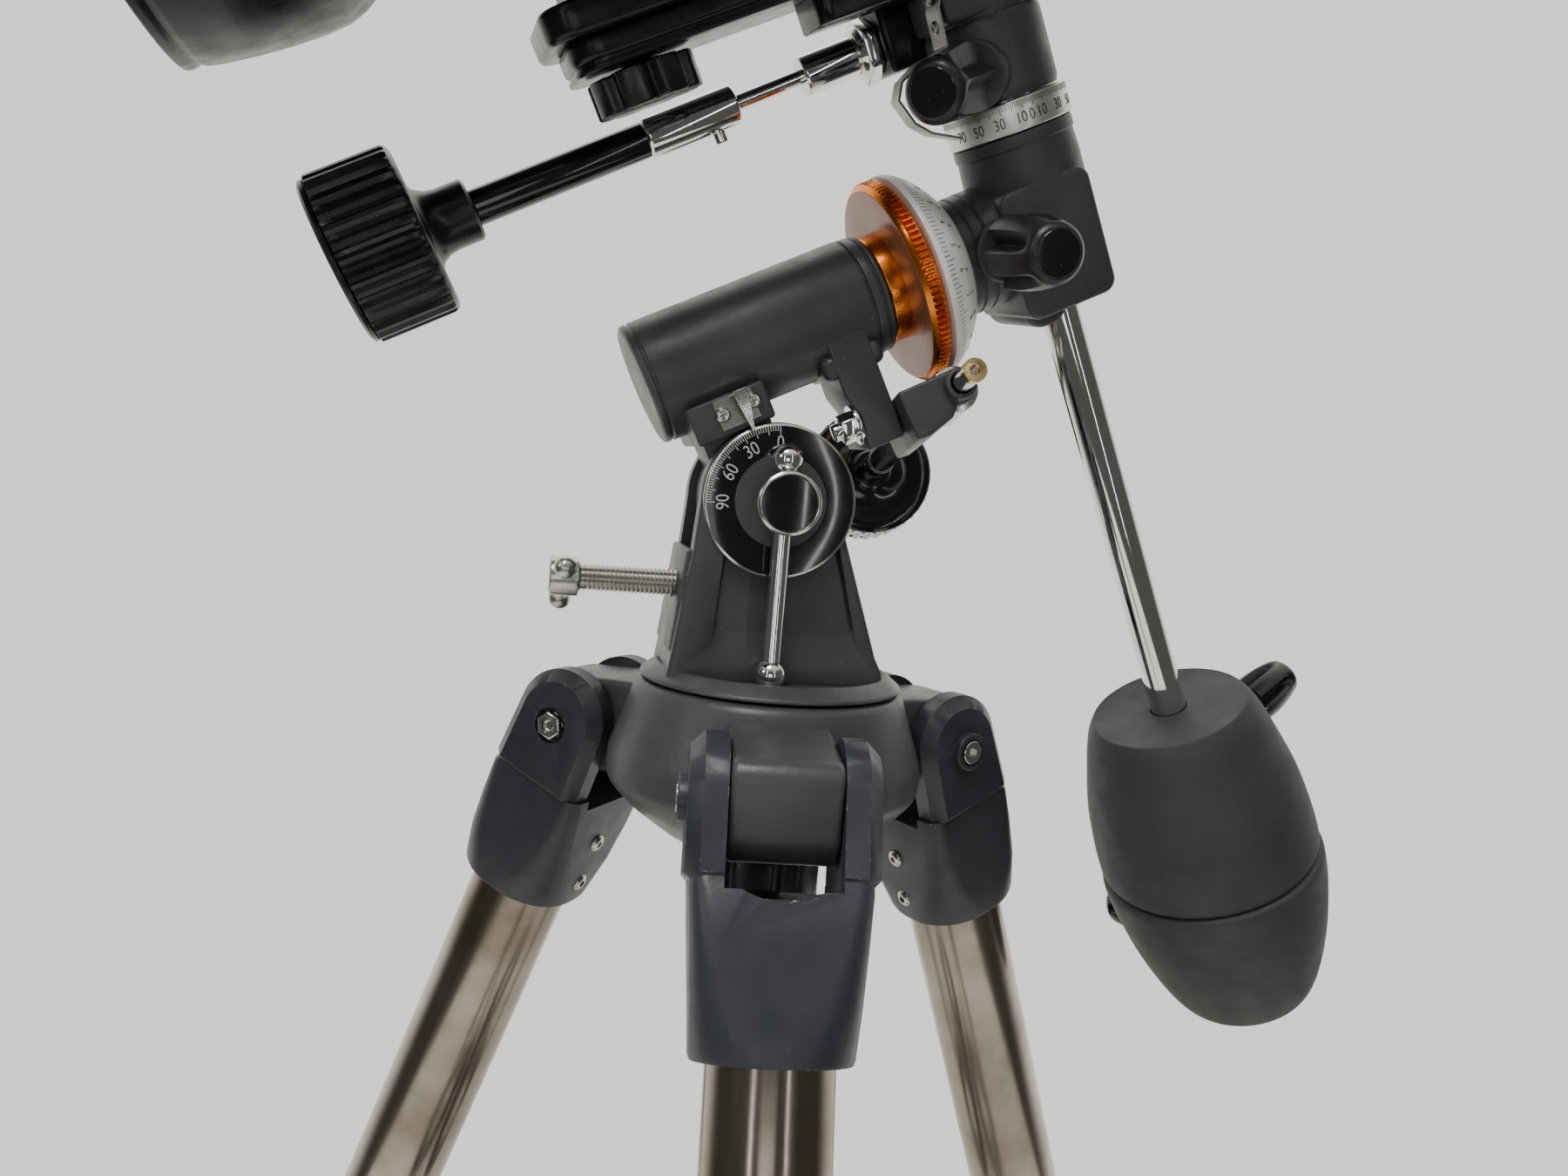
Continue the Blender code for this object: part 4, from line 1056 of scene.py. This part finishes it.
def build_polar_axis():
    piece("barrel_casting", barrel_casting(), RA, "ra_housing", "mount_paint", "ra_housing", angle=40)
    piece("latitude_pointer", pointer_plate(), RA, "ra_housing", "bright")
    screws = [
        moved(pan_screw(2.2, 1.4), at(x=x, y=18.1, z=z) @ turn(-90, "X"))
        for x, z in ((-15.7, -5.8), (-15.2, 3.7))
    ]
    piece("pointer_screws", together(*screws), RA, "ra_housing", "bright")
    piece("worm_arm", worm_arm(), WORM, "ra_housing", "mount_paint", "worm_bracket", angle=40)
    head = moved(
        together(hexagon(8, -5.2, 0, 0.5), rod(6.0, -1.0, 0.2, 48, 0.2), rod(2.6, -7.4, -5, 32, 0.3)),
        at(x=-33, y=10.5, z=30.6),
    )
    piece("bracket_bolt", head, RA, "ra_housing", "chrome")

    worm = [
        (0, 28.4), (2.9, 28.4), (2.9, 17), (3, 10.6), (6.8, 10.2), (6.8, -10.2), (3, -10.6), (3, -22),
        (0, -22),
    ]
    piece("worm_shaft", lathe(worm, 64, 0.2), WORM, "ra_knob", "bright", "ra_worm")
    piece("worm_stub_bush", hollow_rod(3.4, 1.5, 30.9, 28.2, 48, 0.2), WORM, "ra_knob", "brass")
    sleeve = [
        (0, -22.4), (5.1, -22.4), (5.1, -40), (4.5, -40.6), (4.5, -94.4), (5.1, -95), (5.1, -111.6),
        (0, -111.6),
    ]
    piece("ra_cable", lathe(sleeve, 64, 0.4), WORM, "ra_knob", "flex_cable", "ra_flex_shaft")
    piece(
        "ra_control_knob", fluted_drum(-116, -138, 24.5, -112, 7.6), WORM, "ra_knob", "flex_cable",
        "ra_knob",
    )

    piece("ra_gear_teeth", gear_wheel(), RA, "ra_gear", "gear_edge", "ra_gear")
    piece("ra_gear_face", hollow_rod(28.3, 16, 57.28, 57.08, 128, 0.05), RA, "ra_gear", "gear_face")
    hub = [(16, 57.3), (16, 52.4), (15.6, 52), (9.4, 52), (9.4, 57.3)]
    piece("ra_gear_hub", lathe(hub, 128, 0.25, ring=True), RA, "ra_gear", "gear_edge")

    outer = [*reversed(DOME), (9.4, 63.5), (9.4, 76.5)]
    piece(
        "ra_dial_dome", lathe(outer, 160, 0.15, ring=True), RA, "ra_dial", "silver_satin", "ra_dial",
        angle=50,
    )
    numbers = [(str(hour), 15.0 * hour + 7.5) for hour in range(1, 24)]

    def hour_tick(index):
        return (0.3, 3.8) if index % 6 == 0 else (0.3, 2.6)

    later = [(text, angle + 1.5) for text, angle in numbers[11:] + numbers[:11]]
    marks = together(
        dial_marks(dome_at, 144, hour_tick, numbers, 5.6, 2.2, 0.2),
        dial_marks(dome_at, 0, hour_tick, later, 9.0, 2.2),
    )
    piece("ra_dial_marks", marks, RA, "ra_dial", "black_marks")

    piece(
        "junction_casting", junction_casting(), DEC, "polar_head", "mount_paint", "junction_block",
        angle=40,
    )
    piece(
        "ra_lock_head", clamp_knob_head(), RA_LOCK, "ra_lock_knob", "worn_plastic", "ra_lock_knob",
        angle=50,
    )
    piece("ra_lock_face", rod(6.3, 50.3, 50.75, 64, 0.2), RA_LOCK, "ra_lock_knob", "gloss_black")


# ------------------------------------------------------------------ declination axis
def stepped_plate():
    """The saddle plate: a slab on a narrower rib with a groove round it, and a boss under both."""
    return joined(
        slab(rounded(-121, 121, -22, 22, 9), 88.4, 97, 1.8, 3),
        slab(rounded(-116.5, 116.5, -17.5, 17.5, 9), 82.3, 88.6, 1.6, 3),
        slab(rounded(-115.6, 115.6, -16.6, 16.6, 8.4), 81, 83, 0.2, 1),
        slab(rounded(-116.2, 116.2, -17.2, 17.2, 8.8), 80, 81.6, 0.5, 2),
        slab(rounded(-50, 50, -15, 7.5, 4), 72, 80.1, 0.6, 2),
    )


def weight(profile):
    """A bored counterweight from (radius, distance down the bar) points."""
    skin = [(radius, -distance) for radius, distance in profile]
    return lathe([*skin, (6.35, -profile[-1][1]), (6.35, -profile[0][1])], 160, ring=True)


def smooth_profile(points, steps=6):
    """A smooth curve through (radius, distance) points, by Catmull-Rom pieces."""
    result = []
    padded = [points[0], *points, points[-1]]
    for index in range(len(points) - 1):
        a, b, c, d = (Vector(padded[index + offset]) for offset in range(4))
        for step in range(steps):
            t = step / steps
            spot = (
                b * 2 + (c - a) * t + (a * 2 - b * 5 + c * 4 - d) * t**2 + (b * 3 - a - c * 3 + d) * t**3
            ) / 2
            result.append((spot.x, spot.y))
    result.append(points[-1])
    return result


def build_declination_axis():
    ring = [(17.9, 36.9), (18.2, 36.6), (18.2, 28.8), (17.9, 28.4), (8.4, 28.4), (8.4, 36.9)]
    piece("dec_dial_ring", lathe(ring, 128, 0.15, ring=True), DEC, "dec_dial", "dial_metal", "dec_dial")
    zero = -93.0
    numbers = [(str(abs(value)), zero + value) for value in (*range(-70, 71, 20), 0)]

    def degree_tick(index):
        return (34.2, 36.6) if index % 5 == 0 else (34.9, 36.6)

    marks = dial_marks(lambda along: (18.2, along), 180, degree_tick, numbers, 31.7, 3.1, 0.22)
    piece("dec_dial_marks", marks, DEC, "dec_dial", "black_marks")

    head = lathe(
        [
            (0, 71.7), (15.6, 71.7), (16.2, 66), (16.2, 60.6), (15.9, 60.2), (16.4, 59.8), (16.8, 58.6),
            (16.8, 39.4), (16.2, 37.4), (8.4, 37.3), (8.4, 53.3), (0, 53.3),
        ],
        128, 0.3,
    )
    boss = moved(rod(9.6, 12, 18.6, 64, 0.7), DEC.inverted() @ DEC_LOCK)
    top = block((-17, 17), (-16, 7.7), (61, 71.7), 1.2)
    piece("dec_head_casting", joined(head, boss, top), DEC, "dec_head", "mount_paint", "dec_head", angle=40)
    piece("dec_axle", rod(8, -10.5, 53, 64, 0.5), DEC, "dec_head", "bright", "dec_shaft")
    piece(
        "dec_lock_head", clamp_knob_head(ridges=6, sharp=True), DEC_LOCK, "dec_lock_knob", "worn_plastic",
        "dec_lock_knob", angle=50,
    )
    piece("dec_lock_face", rod(6.3, 50.3, 50.75, 64, 0.2), DEC_LOCK, "dec_lock_knob", "gloss_black")

    cavity = moved(along_x(joined(rod(6, -14, 14, 40), rod(3.4, -40, 40, 32))), at(y=20, z=63.5))
    box = cut(block((-26, 18), (8, 32), (54.8, 76), 1.6), cavity)
    piece("worm_block_casting", box, DEC, "dec_head", "saddle_black", "dec_worm_block", angle=40)
    worm = [(0, 31.6), (2.9, 31.6), (2.9, 13.6), (5.6, 13), (5.6, -13), (3, -13.6), (3, -17.5), (0, -17.5)]
    piece("dec_worm_shaft", lathe(worm, 64, 0.25), DEC_WORM, "dec_worm", "bright", "dec_worm")
    nut = joined(
        hexagon(17, 26.2, 30.6, 0.7),
        lathe([(0, 32.2), (6.6, 32.2), (8.2, 30.4), (8.2, 29), (0, 29)], 64, 0.3),
    )
    piece("worm_retaining_nut", cut(nut, rod(3.3, 20, 40, 40)), DEC_WORM, "dec_head", "chrome")

    sleeve = [(0, 17.8), (5.2, 17.8), (5.8, 17.2), (5.8, 0.9), (5.4, 0.3), (0, 0.3)]
    piece("cable_near_sleeve", lathe(sleeve, 64, 0.3), CABLE, "dec_head", "chrome", "dec_flex_shaft")
    piece("cable_bare_shaft", rod(2.3, 17, 40, 40), CABLE, "dec_head", "chrome")
    sleeve = lathe([(0, 68), (5.2, 68), (6.0, 67.2), (6.0, 40), (5.5, 39.4), (0, 39.4)], 64, 0.3)
    screw = moved(along_x(rod(2.0, 4, 9, 32, 0.5)), at(z=47))
    piece("cable_far_sleeve", joined(sleeve, screw), CABLE, "dec_head", "chrome")
    piece("cable_flexible_sheath", rod(5.1, 67.6, 120.6, 64, 0.3), CABLE, "dec_head", "flex_cable")
    knob = fluted_drum(-135.5, -162, 24, -120.8, 8.7, 32)
    piece("dec_control_knob", moved(knob, turn(180, "X")), CABLE, "dec_knob", "black_plastic", "dec_knob")

    route = [
        (-17, 71), (-19.4, 66), (-20, 56), (-28, 54.6), (-34.6, 51.6), (-37, 47.4), (-34.4, 40.4),
        (-30.4, 36.4), (-22, 32.2),
    ]
    strip = ribbon(route, 0.7, [4.5, 4.5, 4.5, 3.4, 3, 3, 3, 3, 2.2])
    piece("dec_pointer_strip", strip, DEC @ at(y=-14.5), "dec_head", "dull_steel")
    screws = [moved(pan_screw(1.9, 1.2), at(x=-19.6, y=-14.5, z=z) @ turn(-95, "Y")) for z in (69, 61.5)]
    piece("pointer_strip_screws", together(*screws), DEC, "dec_head", "dull_steel")

    piece("stepped_saddle_plate", stepped_plate(), DEC, "dec_head", "saddle_black", "saddle_plate")
    for name, side in ENDS:
        nut = together(
            lobed(15, 8, 2.2, 69.2, 79.5, 0.8), rod(4.5, 79, 79.9, 64, 0.2), rod(4, 79, 100, 40, 0.3),
        )
        piece(
            f"ring_lobed_nut_{name}", nut, DEC @ at(x=RING_REACH * side), f"ring_nut_{name}",
            "black_plastic", f"ring_nut_{name}",
        )

    bar = lathe([(0, -13.3), (6, -13.3), (6, -298.6), (5.2, -299.4), (0, -299.4)], 96, 0.3)
    piece("weight_bar", bar, DEC, "polar_head", "chrome", "counterweight_bar")
    upper = [
        (25.5, 170), (26.6, 170.4), (29.6, 176), (33, 188), (36.4, 203), (38.0, 218), (38.3, 227),
        (38.1, 229.4), (37.2, 231.4),
    ]
    lower = [
        (37.4, 232.2), (38.8, 234), (38.6, 240), (37.8, 247), (35, 262), (31.4, 275), (27.2, 286),
        (22.8, 292.4), (15, 295.8),
    ]
    for name, rows, tip in (("upper", upper, 61), ("lower", lower, 46)):
        body = f"counterweight_{name}"
        piece(f"cast_weight_{name}", weight(smooth_profile(rows)), DEC, body, "weight_iron", body, angle=60)
        place = on_joint(f"weight_knob_{name}_turn", DEC_AXIS)
        head = moved(clamp_knob_head(37.5, tip), Matrix.Diagonal((0.84, 0.84, 1, 1)))
        piece(
            f"weight_clamp_{name}", head, place, f"weight_knob_{name}", "black_plastic",
            f"weight_knob_{name}", angle=50,
        )


# ------------------------------------------------------------------ optical tube
def build_optics():
    for name, side in ENDS:
        place = OPTICS @ at(z=RING_REACH * side)
        band = hollow_rod(86.5, 82.45, 10, -10, 160, 0.8)
        foot_block = block((-104.4, -85), (-18, 18), (-12, 12), 1.6)
        web = along_y(slab([(-104.2, -4), (-80, -4), (-80, 4), (-104.2, 4)], -34, 34, 0.8))
        clamps = [block((85, 99), y, (-8, 8), 1.2) for y in ((-8, -1.2), (1.2, 8))]
        core = rod(82.5, -40, 40, 160)
        shell = cut(joined(foot_block, web, *clamps), core)
        ring = joined(band, shell)
        piece(
            f"cradle_ring_{name}", ring, place, "dec_head", "cell_paint",
            f"tube_ring_{name}", angle=40,
        )
        felt = hollow_rod(82.42, 82.12, 9.4, -9.4, 120)
        piece(f"ring_felt_{name}", felt, place, "dec_head", "rubber")
        knob = moved(along_y(together(lobed(7.5, 5, 1.2, 9, 19, 0.7), rod(3, -12, 10, 32, 0.3))), at(x=93))
        piece(f"ring_clamp_knob_{name}", knob, place, "dec_head", "black_plastic")

    opening = moved(rod(26.5, 40, 100, 96), OPTICS.inverted() @ FOCUSER)
    shell = hollow_rod(82, 81, 402, -166, 192)
    piece("painted_tube", cut(shell, opening), OPTICS, "tube", "tube_paint", "tube")
    rim = lathe(
        [(83.4, 401.8), (83.8, 400), (83.8, 386), (83.0, 384), (82.05, 384), (82.05, 401.8)], 192, 0.5,
        ring=True,
    )
    piece("front_trim_ring", rim, OPTICS, "tube", "cell_paint")
    cell = [
        (84.0, -154), (85.8, -154.6), (87.6, -158), (89.4, -163), (90, -172), (89.9, -179), (89.4, -188),
        (88.5, -197), (87.8, -201), (87.1, -202), (86.8, -202.7), (87.3, -203.4), (87.6, -204.4),
        (87.4, -206.0), (86.6, -206.3), (83, -206.3), (82, -205), (82, -200), (28, -200), (28, -196.6),
        (80, -196.6), (80, -166.5), (82.2, -166.5), (82.2, -154),
    ]
    piece("rear_cell_cup", lathe(cell, 192, 0.4, ring=True), OPTICS, "tube", "cell_paint", "rear_cell")
    screws = []
    for azimuth in (30, 150, 270):
        spin = turn(azimuth, "Z")
        screws.append(moved(lobed(7, 5, 1.0, -205.6, -200.2, 0.6), spin @ at(x=52)))
        screws.append(moved(rod(3.2, -204.5, -200.2, 32, 0.5), turn(azimuth + 22, "Z") @ at(x=52)))
    piece("collimation_screws", together(*screws), OPTICS, "tube", "bright")
    sag = [(radius, -175 - (65**2 - radius**2) / (4 * FOCAL_LENGTH)) for radius in (0, 13, 26, 39, 52, 65)]
    piece(
        "primary_mirror_disc", lathe([*sag, (65, -196.2), (0, -196.2)], 160), OPTICS, "tube",
        "mirror_glass", "primary_mirror",
    )
    clips = [
        moved(block((60.5, 69), (-5, 5), (-178, -172.6), 0.5), turn(azimuth, "Z"))
        for azimuth in (0, 120, 240)
    ]
    piece("mirror_clips", together(*clips), OPTICS, "tube", "rubber")

    vanes = [
        moved(block((6, 80.6), (-0.5, 0.5), (346, 360), 0.15), turn(azimuth, "Z"))
        for azimuth in (30, 150, 270)
    ]
    hub = lathe([(0, 366), (6, 366), (9, 363), (9, 343), (0, 343)], 64, 0.6)
    piece("spider_vanes", joined(hub, *vanes), OPTICS, "tube", "cell_paint", "spider")
    slope = turn(50, "Z") @ at(z=FOCUSER_STATION) @ turn(45, "Y")
    wedge = block((-60, 60), (-60, 60), (-80, 0))
    stalk = cut(rod(20, FOCUSER_STATION - 22, 341.7, 96), moved(wedge, slope @ at(z=0.8)))
    piece("secondary_holder", stalk, OPTICS, "tube", "cell_paint", "secondary_mirror")
    flat = cut(
        rod(19.4, FOCUSER_STATION - 22, 341, 96), moved(block((-60, 60), (-60, 60), (-80, 0)), slope),
        moved(block((-60, 60), (-60, 60), (0.75, 90)), slope),
    )
    piece("secondary_flat", flat, OPTICS, "tube", "mirror_glass")

    base = joined(
        rod(33, 70, 94, 96, 1.2), rod(28, 88, 135, 96, 1.2), block((24, 48), (-12, 12), (98, 126), 1.5),
    )
    tube_cut = along_x(rod(82.2, -60, 60, 160))
    body = cut(base, tube_cut, rod(24.3, 60, 150, 96))
    piece("focuser_casting", body, FOCUSER, "tube", "cell_paint", "focuser_body", angle=40)
    draw = lathe(
        [
            (25.5, 165), (25.5, 158), (23.9, 157.6), (23.9, 86), (22.4, 86), (22.4, 150), (16.1, 150),
            (16.1, 165),
        ],
        128, 0.4, ring=True,
    )
    piece("chromed_drawtube", draw, FOCUSER, "drawtube", "chrome", "drawtube")

    def knurled(angle, reach, _height):
        return reach - (0.35 * (1 + math.cos(40 * angle)) if reach > 18.6 else 0)

    def ribbed(angle, reach, height):
        return reach - (0.5 * (1 + math.cos(30 * angle)) if reach > 13 and 17 < abs(height) < 27.6 else 0)

    half = [(0, 30), (11, 30), (12, 29), (14, 28), (14, 22), (14, 16.6), (12, 16), (3, 16)]
    pair = lathe(
        [*half, *[(radius, -height) for radius, height in reversed(half)]], 240, 0.3, shape_of=ribbed,
    )
    piece(
        "focus_knob_pair", pair, on_joint("focus_turn", -POLAR), "focus_knobs", "black_plastic",
        "focus_knobs",
    )
    ocular = [
        (0, 194.5), (9, 194.5), (10, 196), (13.4, 196), (17, 190.5), (18.5, 184), (18.5, 167.4),
        (17.4, 165.5), (15.8, 165.5), (15.8, 142), (0, 142),
    ]
    piece("eyepiece_barrel", lathe(ocular, 128, 0.5), FOCUSER, "eyepiece", "black_plastic", "eyepiece")
    piece(
        "eyepiece_lens", lathe([(0, 195.4), (5, 195.1), (9, 194.4), (9, 194), (0, 194)], 64), FOCUSER,
        "eyepiece", "glass",
    )
    grip = hollow_rod(18.9, 18.45, 180, 170, 120, shape_of=knurled)
    piece("eyepiece_grip", grip, FOCUSER, "eyepiece", "rubber")

    sight = lathe(
        [
            (0, 381), (18, 381), (19, 384), (20.6, 385), (21, 384), (21, 347), (19.6, 341), (17, 336),
            (15.2, 330), (15.2, 242), (12, 236), (11, 231), (13, 228.6), (13, 213), (12, 212), (8, 212),
            (8, 213.5), (0, 213.5),
        ],
        128, 0.5,
    )
    post = block((82.6, 104), (-7, 7), (275, 305), 1.4)
    rings = [hollow_rod(19.6, 15.1, z + 5, z - 5, 96, 0.8) for z in (280, 300)]
    piece("finder_sight", moved(sight, at(x=116)), FINDER, "tube", "tube_paint", "finder")
    piece(
        "finder_bracket", together(post, *[moved(ring, at(x=116)) for ring in rings]), FINDER, "tube",
        "cell_paint",
    )
    lens = lathe([(0, 383), (9, 382.6), (18.2, 381.2), (18.2, 380.6), (0, 380.6)], 96)
    piece("finder_lens", moved(lens, at(x=116)), FINDER, "tube", "glass")


build_tripod()
build_base()
build_polar_axis()
build_declination_axis()
build_optics()


# ------------------------------------------------------------------ studio and camera
ROOM_LIGHT = 0.09
BACKDROP_LIGHT = 1.22
CEILING_LIGHT = 0.75


def studio_sky():
    """A pale room: bright overhead and behind the telescope, dim on the camera's side."""
    world = bpy.context.scene.world or bpy.data.worlds.new("studio")
    bpy.context.scene.world = world
    world.use_nodes = True
    tree = world.node_tree
    place = tree.nodes.new("ShaderNodeTexCoord")
    split = tree.nodes.new("ShaderNodeSeparateXYZ")
    tree.links.new(place.outputs["Generated"], split.inputs["Vector"])

    def ramp(output, low, high, out_low, out_high):
        made = tree.nodes.new("ShaderNodeMapRange")
        made.interpolation_type = "SMOOTHSTEP"
        for key, number in (("From Min", low), ("From Max", high), ("To Min", out_low), ("To Max", out_high)):
            made.inputs[key].default_value = number
        tree.links.new(output, made.inputs["Value"])
        return made.outputs["Result"]

    backdrop = ramp(split.outputs["Y"], 0.0, 0.62, ROOM_LIGHT, BACKDROP_LIGHT)
    ceiling = ramp(split.outputs["Z"], 0.35, 0.85, 0.0, CEILING_LIGHT)
    total = tree.nodes.new("ShaderNodeMath")
    total.operation = "ADD"
    tree.links.new(backdrop, total.inputs[0])
    tree.links.new(ceiling, total.inputs[1])
    sky = tree.nodes["Background"]
    sky.inputs["Color"].default_value = (1.0, 0.962, 0.905, 1)
    tree.links.new(total.outputs["Value"], sky.inputs["Strength"])


def lamp(name, place, power, width, height):
    """A soft panel aimed at the mount from a place given relative to it."""
    data = bpy.data.lights.new(name, "AREA")
    data.energy = power
    data.color = (1.0, 0.99, 0.965)
    data.shape = "RECTANGLE"
    data.size = width
    data.size_y = height
    thing = bpy.data.objects.new(name, data)
    bpy.context.scene.collection.objects.link(thing)
    thing.location = pivot_of("ra_turn") + Vector(place)
    thing.rotation_euler = (-Vector(place)).to_track_quat("-Z", "Y").to_euler()


def studio():
    ground = bmesh.new()
    bmesh.ops.create_circle(ground, cap_ends=True, segments=96, radius=0.98)
    floor = bpy.data.objects.new("floor", finished(ground))
    bpy.context.scene.collection.objects.link(floor)
    look = Nodes("pale_floor", (0.85, 0.84, 0.82), 0.9)
    look.paint(look.mixed(look.noise(0.8, 3), (0.84, 0.828, 0.805), (0.86, 0.848, 0.825)))
    floor.data.materials.append(look.material)
    studio_sky()
    lamp("overhead", (-0.35, -0.75, 1.35), 17, 0.6, 0.6)
    lamp("window", (-1.4, -1.0, 0.5), 3, 0.35, 0.35)
    lamp("left_strip", (-0.55, -1.25, 0.1), 1.2, 0.03, 1.3)
    lamp("right_strip", (0.75, -1.15, 0.1), 1.0, 0.03, 1.3)
    lamp("front_panel", (0.05, -1.35, -0.15), 1.3, 0.55, 0.5)


def camera():
    """Stands 362 mm in front of the tripod's axis, a little below the polar axis, and rolled slightly."""
    yaw, pitch, roll = -0.0052, -0.1005, -0.0826
    view = Vector((math.sin(yaw) * math.cos(pitch), math.cos(yaw) * math.cos(pitch), math.sin(pitch)))
    right = Vector((math.cos(yaw), -math.sin(yaw), 0))
    above = right.cross(view)
    rolled_right = right * math.cos(roll) - above * math.sin(roll)
    rolled_above = right * math.sin(roll) + above * math.cos(roll)
    lens = bpy.data.cameras.new("camera")
    lens.sensor_width = 36
    lens.lens = 28.02
    lens.clip_start = 0.02
    lens.clip_end = 60
    thing = bpy.data.objects.new("camera", lens)
    bpy.context.scene.collection.objects.link(thing)
    place = Matrix((rolled_right, rolled_above, -view)).transposed().to_4x4()
    place.translation = TRIPOD.translation + Vector((3.87, -362.2, 84.81)) * MM
    thing.matrix_world = place
    bpy.context.scene.camera = thing


studio()
camera()

bpy.context.view_layer.update()
